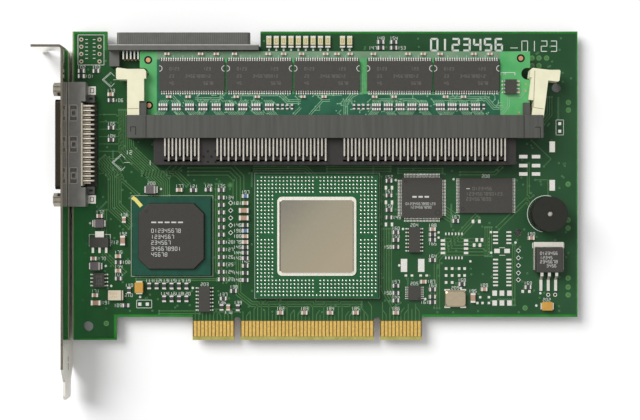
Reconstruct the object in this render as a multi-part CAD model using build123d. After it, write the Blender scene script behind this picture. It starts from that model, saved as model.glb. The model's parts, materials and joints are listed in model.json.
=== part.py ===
from build123d import *
import os

# A plug-in storage controller card. Sizes are millimetres. X runs from the bracket along the card, Y from
# the edge fingers to the top edge, and Z out of the component side. Spots on the card are measured from the
# board's left edge, its finger edge and its component face. At the end everything is shifted to the card's
# own frame, which has its origin under the middle of the card, on the surface that the card lies on.

# Circuit board
BOARD_LENGTH = 174.63
BOARD_HEIGHT = 106.68
BOARD_THICKNESS = 1.6
LEG_WIDTH = 15.25
TONGUE_DEPTH = 7.95
PORT_CUT_LEFT = 12.0
PORT_CUT_RIGHT = 65.0
PORT_CUT_DEPTH = 5.2
BEVEL_RUN = 1.1
BEVEL_DROP = 0.45
CORNER_HOLE = (5.5, 4.75)
CORNER_HOLE_WIDTH = 3.4
SUPPORT_HOLE = (BOARD_LENGTH - 7.23, BOARD_HEIGHT - 19.48)
SUPPORT_HOLE_WIDTH = 3.2
TOOLING_HOLE = (BOARD_LENGTH - 20.53, 37.1)
TOOLING_HOLE_WIDTH = 2.4
TAIL_LENGTH = 1.0

# Pegs, studs, pivots and their seats are drawn with a few flat sides
ROUND_SIDES = 12

# Edge fingers: 62 places, of which the two key slots take two each
FINGER_COUNT = 62
FINGER_PITCH = 1.27
FINGER_WIDTH = 0.95
FINGER_START = 1.25
FINGER_LENGTH = 5.3
FINGER_THICKNESS = 0.05
TONGUE_CENTRE = 81.18
TONGUE_SIDE = 0.4
KEY_PLACES = ((11, 12), (49, 50))
KEY_WIDTH = 2.2
KEY_HEIGHT = 7.9

# Mounting bracket, folded from sheet
BRACKET_THICKNESS = 0.86
BRACKET_WIDTH = 18.42
BRACKET_LENGTH = 120.02
BRACKET_TOP = 100.54
BRACKET_BELOW = 3.0
BRACKET_GAP = 0.57
BEND_RADIUS = 0.7
TAB_LENGTH = 10.9
TAB_NOTCH_WIDTH = 4.42
TAB_NOTCH_REACH = 7.0
TAB_NOTCH_FROM_TIP = 4.2
TAIL_WIDTH = 10.19
TAIL_STRAIGHT = 6.3
TAIL_TAPER = 4.7
TAIL_CORNER = 1.2

# External port
PORT_Y = 67.4
PORT_AXIS = 3.1
PORT_BLOCK_END = 2.35
PORT_BLOCK_DEPTH = 4.55
PORT_BLOCK_HEIGHT = 5.6
PORT_END_DEPTH = 6.05
PORT_END_LENGTH = 6.6
SHELL_WIDTH = 31.4
SHELL_HEIGHT = 4.7
SHELL_SLANT = 1.0
SHELL_CORNER = 1.3
SHELL_WALL = 0.4
SHELL_REACH = 3.46
SHELL_CLEARANCE = 0.15
CORE_GAP = 0.55
CORE_RECESS = 0.6
CORE_SLOT_LENGTH = 27.4
CORE_SLOT_HEIGHT = 1.1
CORE_SLOT_DEPTH = 3.0
POCKET_PITCH = 10.7
POCKET_LENGTH = 5.2
POCKET_WIDTH = 2.4
POCKET_INSET = 0.75
POCKET_DEPTH = 0.45
POCKET_HOLE = 1.1
POCKET_HOLE_DEPTH = 1.3
CARRIER_LENGTH = 28.4
CARRIER_THICKNESS = 0.45
CARRIER_HEIGHT = 5.5
PORT_PINS_PER_ROW = 17
PORT_PIN_PITCH = 1.6
PORT_PIN_WIDTH = 0.5
PORT_PIN_THICKNESS = 0.3
PORT_OUTER_PIN = (4.0, 5.0)
PORT_INNER_PIN = (2.6, 4.2)
LOCK_SPACING = 37.6
LOCK_LENGTH = 2.7
LOCK_WIDTH = 2.9
LOCK_THICKNESS = 0.5
LOCK_LEG = 0.9

# Jack sockets that clamp the bracket to the external port
JACK_GAP = 3.25
JACK_FLATS = 4.0
JACK_LENGTH = 4.3
JACK_BORE = 1.84
JACK_BORE_DEPTH = 3.8
JACK_STUD = 2.6
JACK_STUD_DEPTH = 3.0
JACK_CLEARANCE = 0.08

# Internal port
INNER_PORT_X = 39.0
INNER_FLANGE_LENGTH = 51.3
INNER_FLANGE_DEPTH = 1.85
INNER_FLANGE_FRONT = BOARD_HEIGHT - 5.38
INNER_PORT_HEIGHT = 7.0
INNER_EAR_WIDTH = 3.4
INNER_EAR_DEPTH = 5.2
INNER_EAR_HEIGHT = 3.7
NOSE_WIDTH = 46.4
NOSE_HEIGHT = 5.6
NOSE_LENGTH = 4.2
NOSE_AXIS = 3.6
NOSE_SLANT = 1.6
NOSE_CORNER = 1.2
INNER_PINS = 34
INNER_PIN_PITCH = 1.27
INNER_PIN_WIDTH = 0.5
INNER_PIN_THICKNESS = 0.3
INNER_PIN_REACH = 2.7
INNER_PIN_HEIGHT = 3.2

# Memory socket
SOCKET_X = 90.7
SOCKET_BACK = BOARD_HEIGHT - 37.33
SOCKET_DEPTH = 7.8
SOCKET_END = 8.8
SOCKET_HEIGHT = 9.4
SOCKET_PEG = 2.4
SOCKET_PEG_INSET = 10.6
SOCKET_PEG_REACH = 1.3
PEG_CLEARANCE = 0.1
TOWER_WIDTH = 2.2
TOWER_REACH = 4.3
TOWER_TOP = 7.9
SOCKET_PINS = 84
SOCKET_PIN_PITCH = 1.27
SOCKET_KEY_STEPS = 5
SOCKET_KEYS = (10, 40)
SOCKET_PIN_WIDTH = 0.5
SOCKET_PIN_THICKNESS = 0.32
SOCKET_PIN_HEIGHT = 7.9
SHORT_PIN_REACH = 6.1
LONG_PIN_REACH = 7.75
GUIDE_END = 4.015
GUIDE_DEPTH = 9.1
GUIDE_HEIGHT = 6.6
GUIDE_SLOT_CLEARANCE = 0.15

# Memory module, lying flat in the socket
MODULE_INSET = 3.925
MODULE_DEPTH = 25.4
MODULE_THICKNESS = 1.27
MODULE_FACE = 5.4
MODULE_SEAT = 3.4
MODULE_CLEARANCE = 0.25
NOTCH_RADIUS = 2.0
NOTCH_INSET = 1.0
NOTCH_RISE = 17.78
MODULE_KEY_WIDTH = 2.0
MODULE_KEY_DEPTH = 2.6

# Latches, drawn from their pivot for the left end of the socket
PIVOT_INSET = 1.7
PIVOT_RISE = 4.85
PIVOT_WIDTH = 1.6
PIVOT_REACH = 0.7
PIVOT_CLEARANCE = 0.05
LATCH_BASE = 2.2
LATCH_THICKNESS = 5.8
LATCH_CLEARANCE = 0.2
FOOT_RADIUS = 1.7
STEM_INNER = 2.4
STEM_STEP = 7.8
STEM_UPPER = 4.0
HOOK_REACH = 4.7
HOOK_BASE = 15.4
HOOK_TOP = 18.0
GRIP_REACH = 5.5
GRIP_BASE = 15.1
GRIP_TOP = 19.2
LATCH_TOP = 18.7
LATCH_CORNER = 0.45
LUG_BASE = 2.8
LUG_END = 1.6
LUG_TIP = 4.4
RIGHT_LATCH_AJAR = 7.0

# Memory chips and the small parts round them
CHIP_SPOTS = (41.95, 64.95, 87.95, 112.75, 135.6)
CHIP_RISE = 16.95
MEMORY_CHIP = (22.22, 10.16, 1.1)
PACK = (3.2, 1.6, 0.6)
PACK_RISE = 6.4
PACK_RUNS = ((32.0, 9, 4.54), (104.85, 5, 4.03), (126.65, 4, 4.02))
SINGLE = (0.8, 1.6, 0.45)
SINGLE_RUNS = ((71.2, 4, 1.6), (97.2, 4, 1.6), (141.5, 1, 1.6))
MODULE_CAPACITOR = (1.6, 0.8, 0.8)
MODULE_TOP_RISE = 24.45
MODULE_TOP_SPOTS = (
    33.4, 44.9, 50.2, 56.4, 67.9, 73.2, 79.3, 87.5, 91.4, 95.9, 103.8, 115.6, 120.8, 126.6, 138.1, 143.6
)
MODULE_LOWER_RISE = 9.85
MODULE_LOWER_SPOTS = (34.0, 40.6, 57.0, 64.2, 79.8, 87.0, 104.3, 110.9, 128.5, 134.6)
EEPROM_X = 150.7
EEPROM_RISE = 13.25

# Ball-grid packages
BALL_HEIGHT = 0.5
BALL_MARGIN = 1.4
PROCESSOR_SPOT = (84.5, 35.9)
PROCESSOR_SIDE = 42.5
PROCESSOR_THICKNESS = 1.5
LID_SIDE = 27.2
LID_CORNER = 1.7
LID_RIM = 1.15
LID_RIM_HEIGHT = 0.35
LID_HEIGHT = 0.95
CONTROLLER_SPOT = (34.4, 35.9)
CONTROLLER_SIDE = 27.0
CONTROLLER_THICKNESS = 0.6
MOULD_SIDE = 23.1
MOULD_HEIGHT = 1.15
MOULD_CHAMFER = 3.7
MOULD_DRAFT = 0.35

# Leaded chips: length along X, width along Y, height
LOGIC_SPOT = (120.8, 49.2)
LOGIC_BODY = (14.0, 14.0, 1.4)
FLASH_SPOT = (142.9, 49.9)
FLASH_BODY = (18.4, 12.0, 1.1)
SMALL_BODY_WIDTH = 3.9
SMALL_BODY_HEIGHT = 1.5
SMALL_PITCH = 1.27
SMALL_LEAD = (0.45, 1.1, 0.8)
EIGHT_LEAD_LENGTH = 4.9
FOURTEEN_LEAD_LENGTH = 8.65
LEFT_BUFFER_SPOT = (45.7, 14.2)
RIGHT_BUFFER_SPOT = (118.2, 34.65)
CONFIGURATION_SPOT = (9.3, 20.75)
CLOCK_SPOT = (118.25, 16.3)
CLOCK_BODY = (4.4, 5.0, 1.0)
CLOCK_LEADS = 7
CLOCK_PITCH = 0.65
CLOCK_LEAD = (0.28, 1.0, 0.5)

# Regulators
REGULATOR_X = BOARD_LENGTH - 10.18
REGULATOR_BASE = 23.3
REGULATOR_BODY = (9.7, 8.9, 3.1)
REGULATOR_TAB = (10.3, 9.6, 1.27)
REGULATOR_TAB_REACH = 1.7
REGULATOR_DRAFT = 0.3
REGULATOR_PITCH = 2.54
REGULATOR_LEAD_WIDTH = 1.0
REGULATOR_LEAD_THICKNESS = 0.5
REGULATOR_LEAD_HEIGHT = 2.6
REGULATOR_SHOULDER = 1.2
REGULATOR_ANKLE = 2.6
REGULATOR_TOE = 6.4
SMALL_REGULATOR_SPOT = (9.45, 33.75)
SMALL_REGULATOR_BODY = (6.5, 3.5, 1.7)
SMALL_REGULATOR_TAB = (3.0, 2.1, 0.6)
SMALL_REGULATOR_LEAD = (0.8, 1.9, 0.5)
SMALL_REGULATOR_PITCH = 2.3

# Buzzer
BUZZER_SPOT = (BOARD_LENGTH - 10.98, 43.6)
BUZZER_WIDTH = 12.0
BUZZER_HEIGHT = 9.0
BUZZER_HOLE = 1.8
BUZZER_HOLE_DEPTH = 5.0
BUZZER_PIN = 0.7
BUZZER_PIN_SPACING = 7.6

# Lamps, capacitors, crystal and resonator: length along X, width along Y, height
LAMP = (1.7, 3.9, 0.9)
LAMP_ROW = BOARD_HEIGHT - 3.68
LAMP_RUNS = ((67.95, 9, 2.545), (93.35, 2, 2.5))
TANTALUM = (3.6, 2.9, 1.9)
TANTALUM_TERMINAL = (0.45, 2.2, 0.9)
ORANGE_TANTALUMS = ((BOARD_LENGTH - 10.63, 11.75, 0), (23.2, 18.15, 90))
DARK_TANTALUMS = ((9.3, 40.3, 0), (27.3, 52.0, 0), (8.2, 25.6, 0))
CRYSTAL_SPOT = (132.35, 14.35)
CRYSTAL_FLANGE = (7.1, 5.9, 0.4)
CRYSTAL_CAN = (6.8, 5.0, 1.5)
CRYSTAL_CORNER = 0.6
RESONATOR_SPOT = (15.1, 15.5)
RESONATOR = (5.2, 3.4, 1.3)

# Small ceramic parts, each as a spot and the angle it is turned by
CAPACITOR = (2.0, 1.25, 0.9)
CAPACITOR_COLUMN = (59.8, (47.35, 35.9, 33.9))
CAPACITOR_TONGUE_ROW = (9.5, (71.9, 80.2, 89.1, 97.9, 111.8))
CAPACITOR_SPOTS = (
    (7.4, 28.2, 0), (7.9, 15.55, 0), (9.5, 42.9, 0), (13.3, 84.9, 0), (17.9, 41.6, 90), (15.9, 29.0, 0),
    (15.9, 24.0, 0), (37.0, 51.9, 0), (53.9, 11.3, 90), (124.5, 38.3, 0), (121.3, 20.2, 0), (142.3, 17.6, 0),
    (BOARD_LENGTH - 16.03, 35.3, 0),
)
LARGE_CAPACITOR = (3.2, 1.6, 1.2)
LARGE_CAPACITOR_SPOTS = (
    (59.3, 44.8, 0), (59.3, 42.2, 0), (8.2, 12.9, 0), (17.5, 34.4, 90), (138.4, 14.6, 90)
)
RESISTOR = (2.0, 1.25, 0.55)
RESISTOR_RUN_COLUMN = (51.5, 21.0, 13, 2.57)
RESISTOR_RUN_ROWS = ((26.6, 18.75, 6, 2.57), (31.75, 14.3, 4, 2.57))
RESISTOR_COLUMNS = (
    (59.8, (39.75, 32.1, 30.2, 28.3, 25.7, 23.2, 20.75)),
    (109.4, (55.05, 50.0, 45.0, 42.4)),
    (111.8, (37.25, 34.6, 32.2, 18.8, 16.3, 13.7)),
    (124.5, (36.5, 34.7, 27.65, 17.5, 15.0, 13.1)),
    (106.6, (BOARD_HEIGHT - 3.68, BOARD_HEIGHT - 5.68)),
    (111.1, (BOARD_HEIGHT - 3.68, BOARD_HEIGHT - 5.68)),
    (13.4, (82.9, 73.4, 69.2)),
    (15.9, (26.9, 21.3)),
)
RESISTOR_SPOTS = (
    (3.1, BOARD_HEIGHT - 13.68, 0), (8.2, BOARD_HEIGHT - 13.68, 0), (3.1, BOARD_HEIGHT - 15.48, 0),
    (41.9, 51.8, 0), (47.0, 52.0, 0), (55.75, 17.0, 0), (52.2, 14.4, 0), (51.6, 11.3, 90), (57.2, 11.2, 90),
    (134.65, 19.35, 0), (132.5, 41.2, 0), (BOARD_LENGTH - 17.13, 18.3, 0), (19.6, 17.2, 90), (18.5, 12.0, 0),
)
FILM_RESISTOR_SPOTS = ((59.8, 49.8, 0), (59.8, 37.8, 0))

# Places that follow from the sizes above
BOARD_BACK = -BOARD_THICKNESS
BRACKET_INNER = -BRACKET_GAP
BRACKET_OUTER = BRACKET_INNER - BRACKET_THICKNESS
BRACKET_LOW = BOARD_BACK - BRACKET_BELOW
BRACKET_HIGH = BRACKET_LOW + BRACKET_WIDTH
BRACKET_MIDDLE = (BRACKET_LOW + BRACKET_HIGH) / 2
BRACKET_BOTTOM = BRACKET_TOP - BRACKET_LENGTH
JACK_SPACING = SHELL_WIDTH + 2 * JACK_GAP
PORT_BLOCK_LENGTH = JACK_SPACING + 2 * PORT_BLOCK_END
PORT_BACK = BRACKET_INNER + PORT_BLOCK_DEPTH
CARRIER_BACK = PORT_BACK + CARRIER_THICKNESS
TAIL_DEPTH = BOARD_THICKNESS + TAIL_LENGTH
FIRST_FINGER = TONGUE_CENTRE - (FINGER_COUNT - 1) * FINGER_PITCH / 2
INNER_FLANGE_BACK = INNER_FLANGE_FRONT - INNER_FLANGE_DEPTH
SOCKET_PIN_SPAN = (SOCKET_PINS - 1 + len(SOCKET_KEYS) * (SOCKET_KEY_STEPS - 1)) * SOCKET_PIN_PITCH
GUIDE_LENGTH = SOCKET_PIN_SPAN + 2 * GUIDE_END
SOCKET_LENGTH = GUIDE_LENGTH + 2 * SOCKET_END
SOCKET_PEG_SPACING = SOCKET_LENGTH - 2 * SOCKET_PEG_INSET
MODULE_LENGTH = SOCKET_LENGTH - 2 * MODULE_INSET
SOCKET_FRONT = SOCKET_BACK + SOCKET_DEPTH
SOCKET_LEFT = SOCKET_X - SOCKET_LENGTH / 2
MODULE_BOTTOM = SOCKET_FRONT - MODULE_SEAT
MODULE_TOP = MODULE_BOTTOM + MODULE_DEPTH
CHIP_ROW = MODULE_BOTTOM + CHIP_RISE
PACK_ROW = MODULE_BOTTOM + PACK_RISE
MODULE_TOP_ROW = MODULE_BOTTOM + MODULE_TOP_RISE
MODULE_LOWER_ROW = MODULE_BOTTOM + MODULE_LOWER_RISE
EEPROM_SPOT = (EEPROM_X, MODULE_BOTTOM + EEPROM_RISE)
MODULE_BACK = MODULE_FACE - MODULE_THICKNESS
MODULE_HALF = MODULE_LENGTH / 2
LATCH_CEILING = LATCH_BASE + LATCH_THICKNESS
PIVOT_Y = SOCKET_BACK + PIVOT_RISE
PIVOT_OFFSET = SOCKET_LENGTH / 2 - PIVOT_INSET
PROCESSOR_FACE = BALL_HEIGHT + PROCESSOR_THICKNESS
CONTROLLER_FACE = BALL_HEIGHT + CONTROLLER_THICKNESS


def block(x0, x1, y0, y1, z0, z1):
    """Box between two corners."""
    return Pos((x0 + x1) / 2, (y0 + y1) / 2, (z0 + z1) / 2) * Box(x1 - x0, y1 - y0, z1 - z0)


def standing(size, spot, base=0.0, turn=0.0):
    """Box of a size that stands on a face at a height, turned about its own middle."""
    length, width, height = size
    return Pos(spot[0], spot[1], base + height / 2) * Rot(0, 0, turn) * Box(length, width, height)


def run(first, count, pitch):
    """Evenly spaced places."""
    return [first + step * pitch for step in range(count)]


def centred(count, pitch):
    """Evenly spaced places about zero."""
    return run(-(count - 1) * pitch / 2, count, pitch)


def small_round(radius):
    """Outline of a small peg, stud or pivot, or of its seat."""
    return RegularPolygon(radius, ROUND_SIDES)


def d_shape(width, height, slant, corner):
    """Mouth of a connector: wider along its top, with rounded corners."""
    half = width / 2
    outline = Polygon(
        (-half, height / 2), (slant - half, -height / 2), (half - slant, -height / 2), (half, height / 2),
        align=None,
    )
    return fillet(outline.vertices(), corner)


def ramp_lead(size):
    """Chip lead that falls from the body's side to the board, pointing along X."""
    width, reach, rise = size
    profile = Plane.XZ * Polygon((0, 0), (reach, 0), (0, rise), align=None)
    return extrude(profile, amount=width / 2, both=True)


def bent_pin(width, thickness, reach, height):
    """Connector pin that runs out along X at a height, then turns down through the board."""
    profile = Plane.XZ * Polygon(
        (0, height), (0, height - thickness), (reach - thickness, height - thickness),
        (reach - thickness, -TAIL_DEPTH), (reach, -TAIL_DEPTH), (reach, height), align=None,
    )
    return extrude(profile, amount=width / 2, both=True)


def leads_on_sides(lead, count, pitch, spot, half, base, turns):
    """Rows of leads on a chip's sides, one row for each outward angle."""
    leads = []
    for turn in turns:
        side = Pos(spot[0], spot[1], base) * Rot(0, 0, turn)
        leads += [side * Pos(half, place, 0) * lead for place in centred(count, pitch)]
    return leads


def finger_places():
    """Edge-finger positions along X, without those that the key slots take."""
    keyed = [place for pair in KEY_PLACES for place in pair]
    return [FIRST_FINGER + place * FINGER_PITCH for place in range(FINGER_COUNT) if place not in keyed]


def circuit_board():
    tongue_half = (FINGER_COUNT - 1) * FINGER_PITCH / 2 + FINGER_WIDTH / 2 + TONGUE_SIDE
    left = TONGUE_CENTRE - tongue_half
    right = TONGUE_CENTRE + tongue_half
    cut_floor = BOARD_HEIGHT - PORT_CUT_DEPTH
    outline = Polygon(
        (0, 0), (LEG_WIDTH, 0), (LEG_WIDTH, TONGUE_DEPTH), (left, TONGUE_DEPTH), (left, 0), (right, 0),
        (right, TONGUE_DEPTH), (BOARD_LENGTH, TONGUE_DEPTH), (BOARD_LENGTH, BOARD_HEIGHT),
        (PORT_CUT_RIGHT, BOARD_HEIGHT), (PORT_CUT_RIGHT, cut_floor), (PORT_CUT_LEFT, cut_floor),
        (PORT_CUT_LEFT, BOARD_HEIGHT), (0, BOARD_HEIGHT), align=None,
    )
    for pair in KEY_PLACES:
        key_x = FIRST_FINGER + sum(pair) / 2 * FINGER_PITCH
        straight = KEY_HEIGHT - KEY_WIDTH / 2
        outline -= Pos(key_x, straight / 2) * Rectangle(KEY_WIDTH, straight)
        outline -= Pos(key_x, straight) * Circle(KEY_WIDTH / 2)
    for spot, width in (
        (CORNER_HOLE, CORNER_HOLE_WIDTH), (SUPPORT_HOLE, SUPPORT_HOLE_WIDTH),
        (TOOLING_HOLE, TOOLING_HOLE_WIDTH),
    ):
        outline -= Pos(*spot) * Circle(width / 2)
    peg_hole = small_round(SOCKET_PEG / 2 + PEG_CLEARANCE)
    for offset_x in centred(2, SOCKET_PEG_SPACING):
        outline -= Pos(SOCKET_X + offset_x, SOCKET_BACK + SOCKET_DEPTH / 2) * peg_hole
    board = extrude(outline, amount=-BOARD_THICKNESS)
    # The tongue's edge is bevelled on both faces so that it slides into its slot
    for face, drop in ((0, -BEVEL_DROP), (BOARD_BACK, BEVEL_DROP)):
        wedge = Plane.YZ.offset(left) * Polygon((0, face), (BEVEL_RUN, face), (0, face + drop), align=None)
        board -= extrude(wedge, amount=right - left)
    return board


def edge_fingers():
    fingers = []
    for x in finger_places():
        fingers.append(
            block(
                x - FINGER_WIDTH / 2, x + FINGER_WIDTH / 2, FINGER_START, FINGER_START + FINGER_LENGTH,
                0, FINGER_THICKNESS,
            )
        )
    return fingers


def port_mouth(x, grow=0.0):
    """Outline of the external port's shell on a plane across X, grown or shrunk all round."""
    outline = d_shape(SHELL_WIDTH, SHELL_HEIGHT, SHELL_SLANT, SHELL_CORNER)
    if grow:
        outline = offset(outline, amount=grow)
    return Plane.YZ.offset(x) * Pos(PORT_Y, PORT_AXIS) * outline


def along_jacks(x, outline, length):
    """Two bars along X on the jack sockets' axes."""
    bars = []
    for offset_y in centred(2, JACK_SPACING):
        bars.append(extrude(Plane.YZ.offset(x) * Pos(PORT_Y + offset_y, PORT_AXIS) * outline, amount=length))
    return bars


def mounting_bracket():
    tip = BRACKET_INNER - TAB_LENGTH
    under = BRACKET_TOP - BRACKET_THICKNESS
    fold = Polygon(
        (BRACKET_INNER, BRACKET_BOTTOM), (BRACKET_INNER, BRACKET_TOP), (tip, BRACKET_TOP), (tip, under),
        (BRACKET_OUTER, under), (BRACKET_OUTER, BRACKET_BOTTOM), align=None,
    )
    outside = fold.vertices().sort_by_distance((BRACKET_INNER, BRACKET_TOP))[0]
    fold = fillet(outside, BEND_RADIUS + BRACKET_THICKNESS)
    inside = fold.vertices().sort_by_distance((BRACKET_OUTER, under))[0]
    fold = fillet(inside, BEND_RADIUS)
    sheet = Pos(0, 0, BRACKET_LOW) * extrude(fold, amount=BRACKET_WIDTH)
    # The tail tapers to a narrow tongue
    taper_end = BRACKET_BOTTOM + TAIL_STRAIGHT
    taper_start = taper_end + TAIL_TAPER
    side = TAIL_WIDTH / 2
    blank = Polygon(
        (BRACKET_TOP, BRACKET_LOW), (BRACKET_TOP, BRACKET_HIGH), (taper_start, BRACKET_HIGH),
        (taper_end, BRACKET_MIDDLE + side), (BRACKET_BOTTOM, BRACKET_MIDDLE + side),
        (BRACKET_BOTTOM, BRACKET_MIDDLE - side), (taper_end, BRACKET_MIDDLE - side),
        (taper_start, BRACKET_LOW), align=None,
    )
    blank = chamfer(blank.vertices().group_by(Axis.X)[0], TAIL_CORNER)
    bracket = sheet & extrude(Plane.YZ.offset(tip) * blank, amount=TAB_LENGTH)
    # Cut-outs for the port, its jack sockets and the chassis screw
    bracket -= extrude(port_mouth(BRACKET_OUTER, SHELL_CLEARANCE), amount=BRACKET_THICKNESS)
    for bar in along_jacks(BRACKET_OUTER, small_round(JACK_STUD / 2 + JACK_CLEARANCE), BRACKET_THICKNESS):
        bracket -= bar
    notch_x = tip + TAB_NOTCH_FROM_TIP
    notch_end = BRACKET_LOW + TAB_NOTCH_REACH - TAB_NOTCH_WIDTH / 2
    half = TAB_NOTCH_WIDTH / 2
    bracket -= block(notch_x - half, notch_x + half, under, BRACKET_TOP, BRACKET_LOW, notch_end)
    notch_round = Rot(90, 0, 0) * Cylinder(half, BRACKET_THICKNESS)
    return bracket - Pos(notch_x, (under + BRACKET_TOP) / 2, notch_end) * notch_round


def external_port_housing():
    half = PORT_BLOCK_LENGTH / 2
    housing = block(BRACKET_INNER, PORT_BACK, PORT_Y - half, PORT_Y + half, 0, PORT_BLOCK_HEIGHT)
    end_back = BRACKET_INNER + PORT_END_DEPTH
    for low in (PORT_Y - half, PORT_Y + half - PORT_END_LENGTH):
        housing += block(PORT_BACK, end_back, low, low + PORT_END_LENGTH, 0, PORT_BLOCK_HEIGHT)
    # Contact block inside the shell, with the slot that the plug's tongue enters
    core_tip = BRACKET_OUTER - SHELL_REACH + CORE_RECESS
    housing += extrude(port_mouth(core_tip, -SHELL_WALL - CORE_GAP), amount=BRACKET_INNER - core_tip)
    slot = CORE_SLOT_LENGTH / 2
    rise = CORE_SLOT_HEIGHT / 2
    housing -= block(
        core_tip, core_tip + CORE_SLOT_DEPTH, PORT_Y - slot, PORT_Y + slot, PORT_AXIS - rise, PORT_AXIS + rise
    )
    # Recessed windows on the top face
    window_x = BRACKET_INNER + POCKET_INSET + POCKET_WIDTH / 2
    for offset_y in centred(3, POCKET_PITCH):
        for length, width, depth in (
            (POCKET_WIDTH, POCKET_LENGTH, POCKET_DEPTH), (POCKET_HOLE, POCKET_HOLE, POCKET_HOLE_DEPTH)
        ):
            spot = (window_x, PORT_Y + offset_y)
            housing -= standing((length, width, depth), spot, PORT_BLOCK_HEIGHT - depth)
    return housing


def external_port_carrier():
    half = CARRIER_LENGTH / 2
    return block(PORT_BACK, CARRIER_BACK, PORT_Y - half, PORT_Y + half, 0, CARRIER_HEIGHT)


def external_port_shell():
    tip = BRACKET_OUTER - SHELL_REACH
    length = BRACKET_INNER - tip
    return extrude(port_mouth(tip), amount=length) - extrude(port_mouth(tip, -SHELL_WALL), amount=length)


def external_port_contacts():
    pins = []
    shift = PORT_PIN_PITCH / 4
    for (reach, height), side in ((PORT_OUTER_PIN, 1), (PORT_INNER_PIN, -1)):
        pin = bent_pin(PORT_PIN_WIDTH, PORT_PIN_THICKNESS, reach, height)
        for offset_y in centred(PORT_PINS_PER_ROW, PORT_PIN_PITCH):
            pins.append(Pos(CARRIER_BACK, PORT_Y + offset_y + side * shift, 0) * pin)
    return pins


def external_port_board_locks():
    locks = []
    start = BRACKET_INNER + PORT_END_DEPTH
    for offset_y in centred(2, LOCK_SPACING):
        y = PORT_Y + offset_y
        plate = block(start, start + LOCK_LENGTH, y - LOCK_WIDTH / 2, y + LOCK_WIDTH / 2, 0, LOCK_THICKNESS)
        leg = block(
            start + LOCK_LENGTH / 2, start + LOCK_LENGTH / 2 + LOCK_THICKNESS, y - LOCK_LEG, y + LOCK_LEG,
            -TAIL_DEPTH, 0,
        )
        locks.append(plate + leg)
    return locks


def jack_sockets():
    tip = BRACKET_OUTER - JACK_LENGTH
    heads = along_jacks(tip, RegularPolygon(JACK_FLATS / 2, 6, major_radius=False), JACK_LENGTH)
    studs = along_jacks(BRACKET_OUTER, small_round(JACK_STUD / 2), BRACKET_THICKNESS + JACK_STUD_DEPTH)
    bores = along_jacks(tip, Circle(JACK_BORE / 2), JACK_BORE_DEPTH)
    return [head + stud - bore for head, stud, bore in zip(heads, studs, bores)]


def internal_port_housing():
    half = INNER_FLANGE_LENGTH / 2
    left = INNER_PORT_X - half
    right = INNER_PORT_X + half
    housing = block(left, right, INNER_FLANGE_BACK, INNER_FLANGE_FRONT, 0, INNER_PORT_HEIGHT)
    for low in (left, right - INNER_EAR_WIDTH):
        ear_back = INNER_FLANGE_BACK - INNER_EAR_DEPTH
        housing += block(low, low + INNER_EAR_WIDTH, ear_back, INNER_FLANGE_BACK, 0, INNER_EAR_HEIGHT)
    mouth = d_shape(NOSE_WIDTH, NOSE_HEIGHT, NOSE_SLANT, NOSE_CORNER)
    nose_plane = Plane.XZ.offset(-INNER_FLANGE_FRONT)
    housing += extrude(nose_plane * Pos(INNER_PORT_X, NOSE_AXIS) * mouth, amount=-NOSE_LENGTH)
    return housing


def internal_port_contacts():
    pin = bent_pin(INNER_PIN_WIDTH, INNER_PIN_THICKNESS, INNER_PIN_REACH, INNER_PIN_HEIGHT)
    row = [INNER_PORT_X + place for place in centred(INNER_PINS, INNER_PIN_PITCH)]
    return [Pos(x, INNER_FLANGE_BACK, 0) * Rot(0, 0, -90) * pin for x in row]


def memory_socket_housing():
    half = SOCKET_LENGTH / 2
    housing = block(SOCKET_X - half, SOCKET_X + half, SOCKET_BACK, SOCKET_FRONT, 0, SOCKET_HEIGHT)
    slot_half = MODULE_HALF + MODULE_CLEARANCE
    housing -= block(
        SOCKET_X - slot_half, SOCKET_X + slot_half, MODULE_BOTTOM, SOCKET_FRONT,
        MODULE_BACK - MODULE_CLEARANCE, MODULE_FACE + MODULE_CLEARANCE,
    )
    pocket_floor = LATCH_BASE - LATCH_CLEARANCE
    pocket_roof = LATCH_CEILING + LATCH_CLEARANCE
    pocket_back = PIVOT_Y - FOOT_RADIUS - LATCH_CLEARANCE
    pocket_inner = PIVOT_OFFSET - STEM_INNER - LATCH_CLEARANCE
    for side in (-1, 1):
        # Clevis for the latch, with a seat for its pivot above and below
        inner = SOCKET_X + side * pocket_inner
        outer = SOCKET_X + side * half
        housing -= block(
            min(inner, outer), max(inner, outer), pocket_back, SOCKET_FRONT, pocket_floor, pocket_roof
        )
        pivot_low = pocket_floor - PIVOT_REACH
        pivot_height = pocket_roof + PIVOT_REACH - pivot_low
        pivot_seat = extrude(small_round(PIVOT_WIDTH / 2 + PIVOT_CLEARANCE), amount=pivot_height)
        housing -= Pos(SOCKET_X + side * PIVOT_OFFSET, PIVOT_Y, pivot_low) * pivot_seat
        # Tower that guides the module's end
        tower_x = SOCKET_X + side * (pocket_inner - TOWER_WIDTH / 2)
        housing += block(
            tower_x - TOWER_WIDTH / 2, tower_x + TOWER_WIDTH / 2, SOCKET_FRONT, SOCKET_FRONT + TOWER_REACH,
            MODULE_FACE + MODULE_CLEARANCE, TOWER_TOP,
        )
        peg_x = SOCKET_X + side * SOCKET_PEG_SPACING / 2
        peg = Pos(peg_x, SOCKET_BACK + SOCKET_DEPTH / 2) * small_round(SOCKET_PEG / 2)
        housing += extrude(peg, amount=-BOARD_THICKNESS - SOCKET_PEG_REACH)
    return housing


def socket_pin_places():
    """Contact positions along X, with a wider step at each of the module's keys."""
    places = []
    for pin in range(SOCKET_PINS):
        keys = sum(pin >= key for key in SOCKET_KEYS)
        places.append((pin + keys * (SOCKET_KEY_STEPS - 1)) * SOCKET_PIN_PITCH)
    first = SOCKET_X - SOCKET_PIN_SPAN / 2
    return [first + place for place in places]


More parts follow.
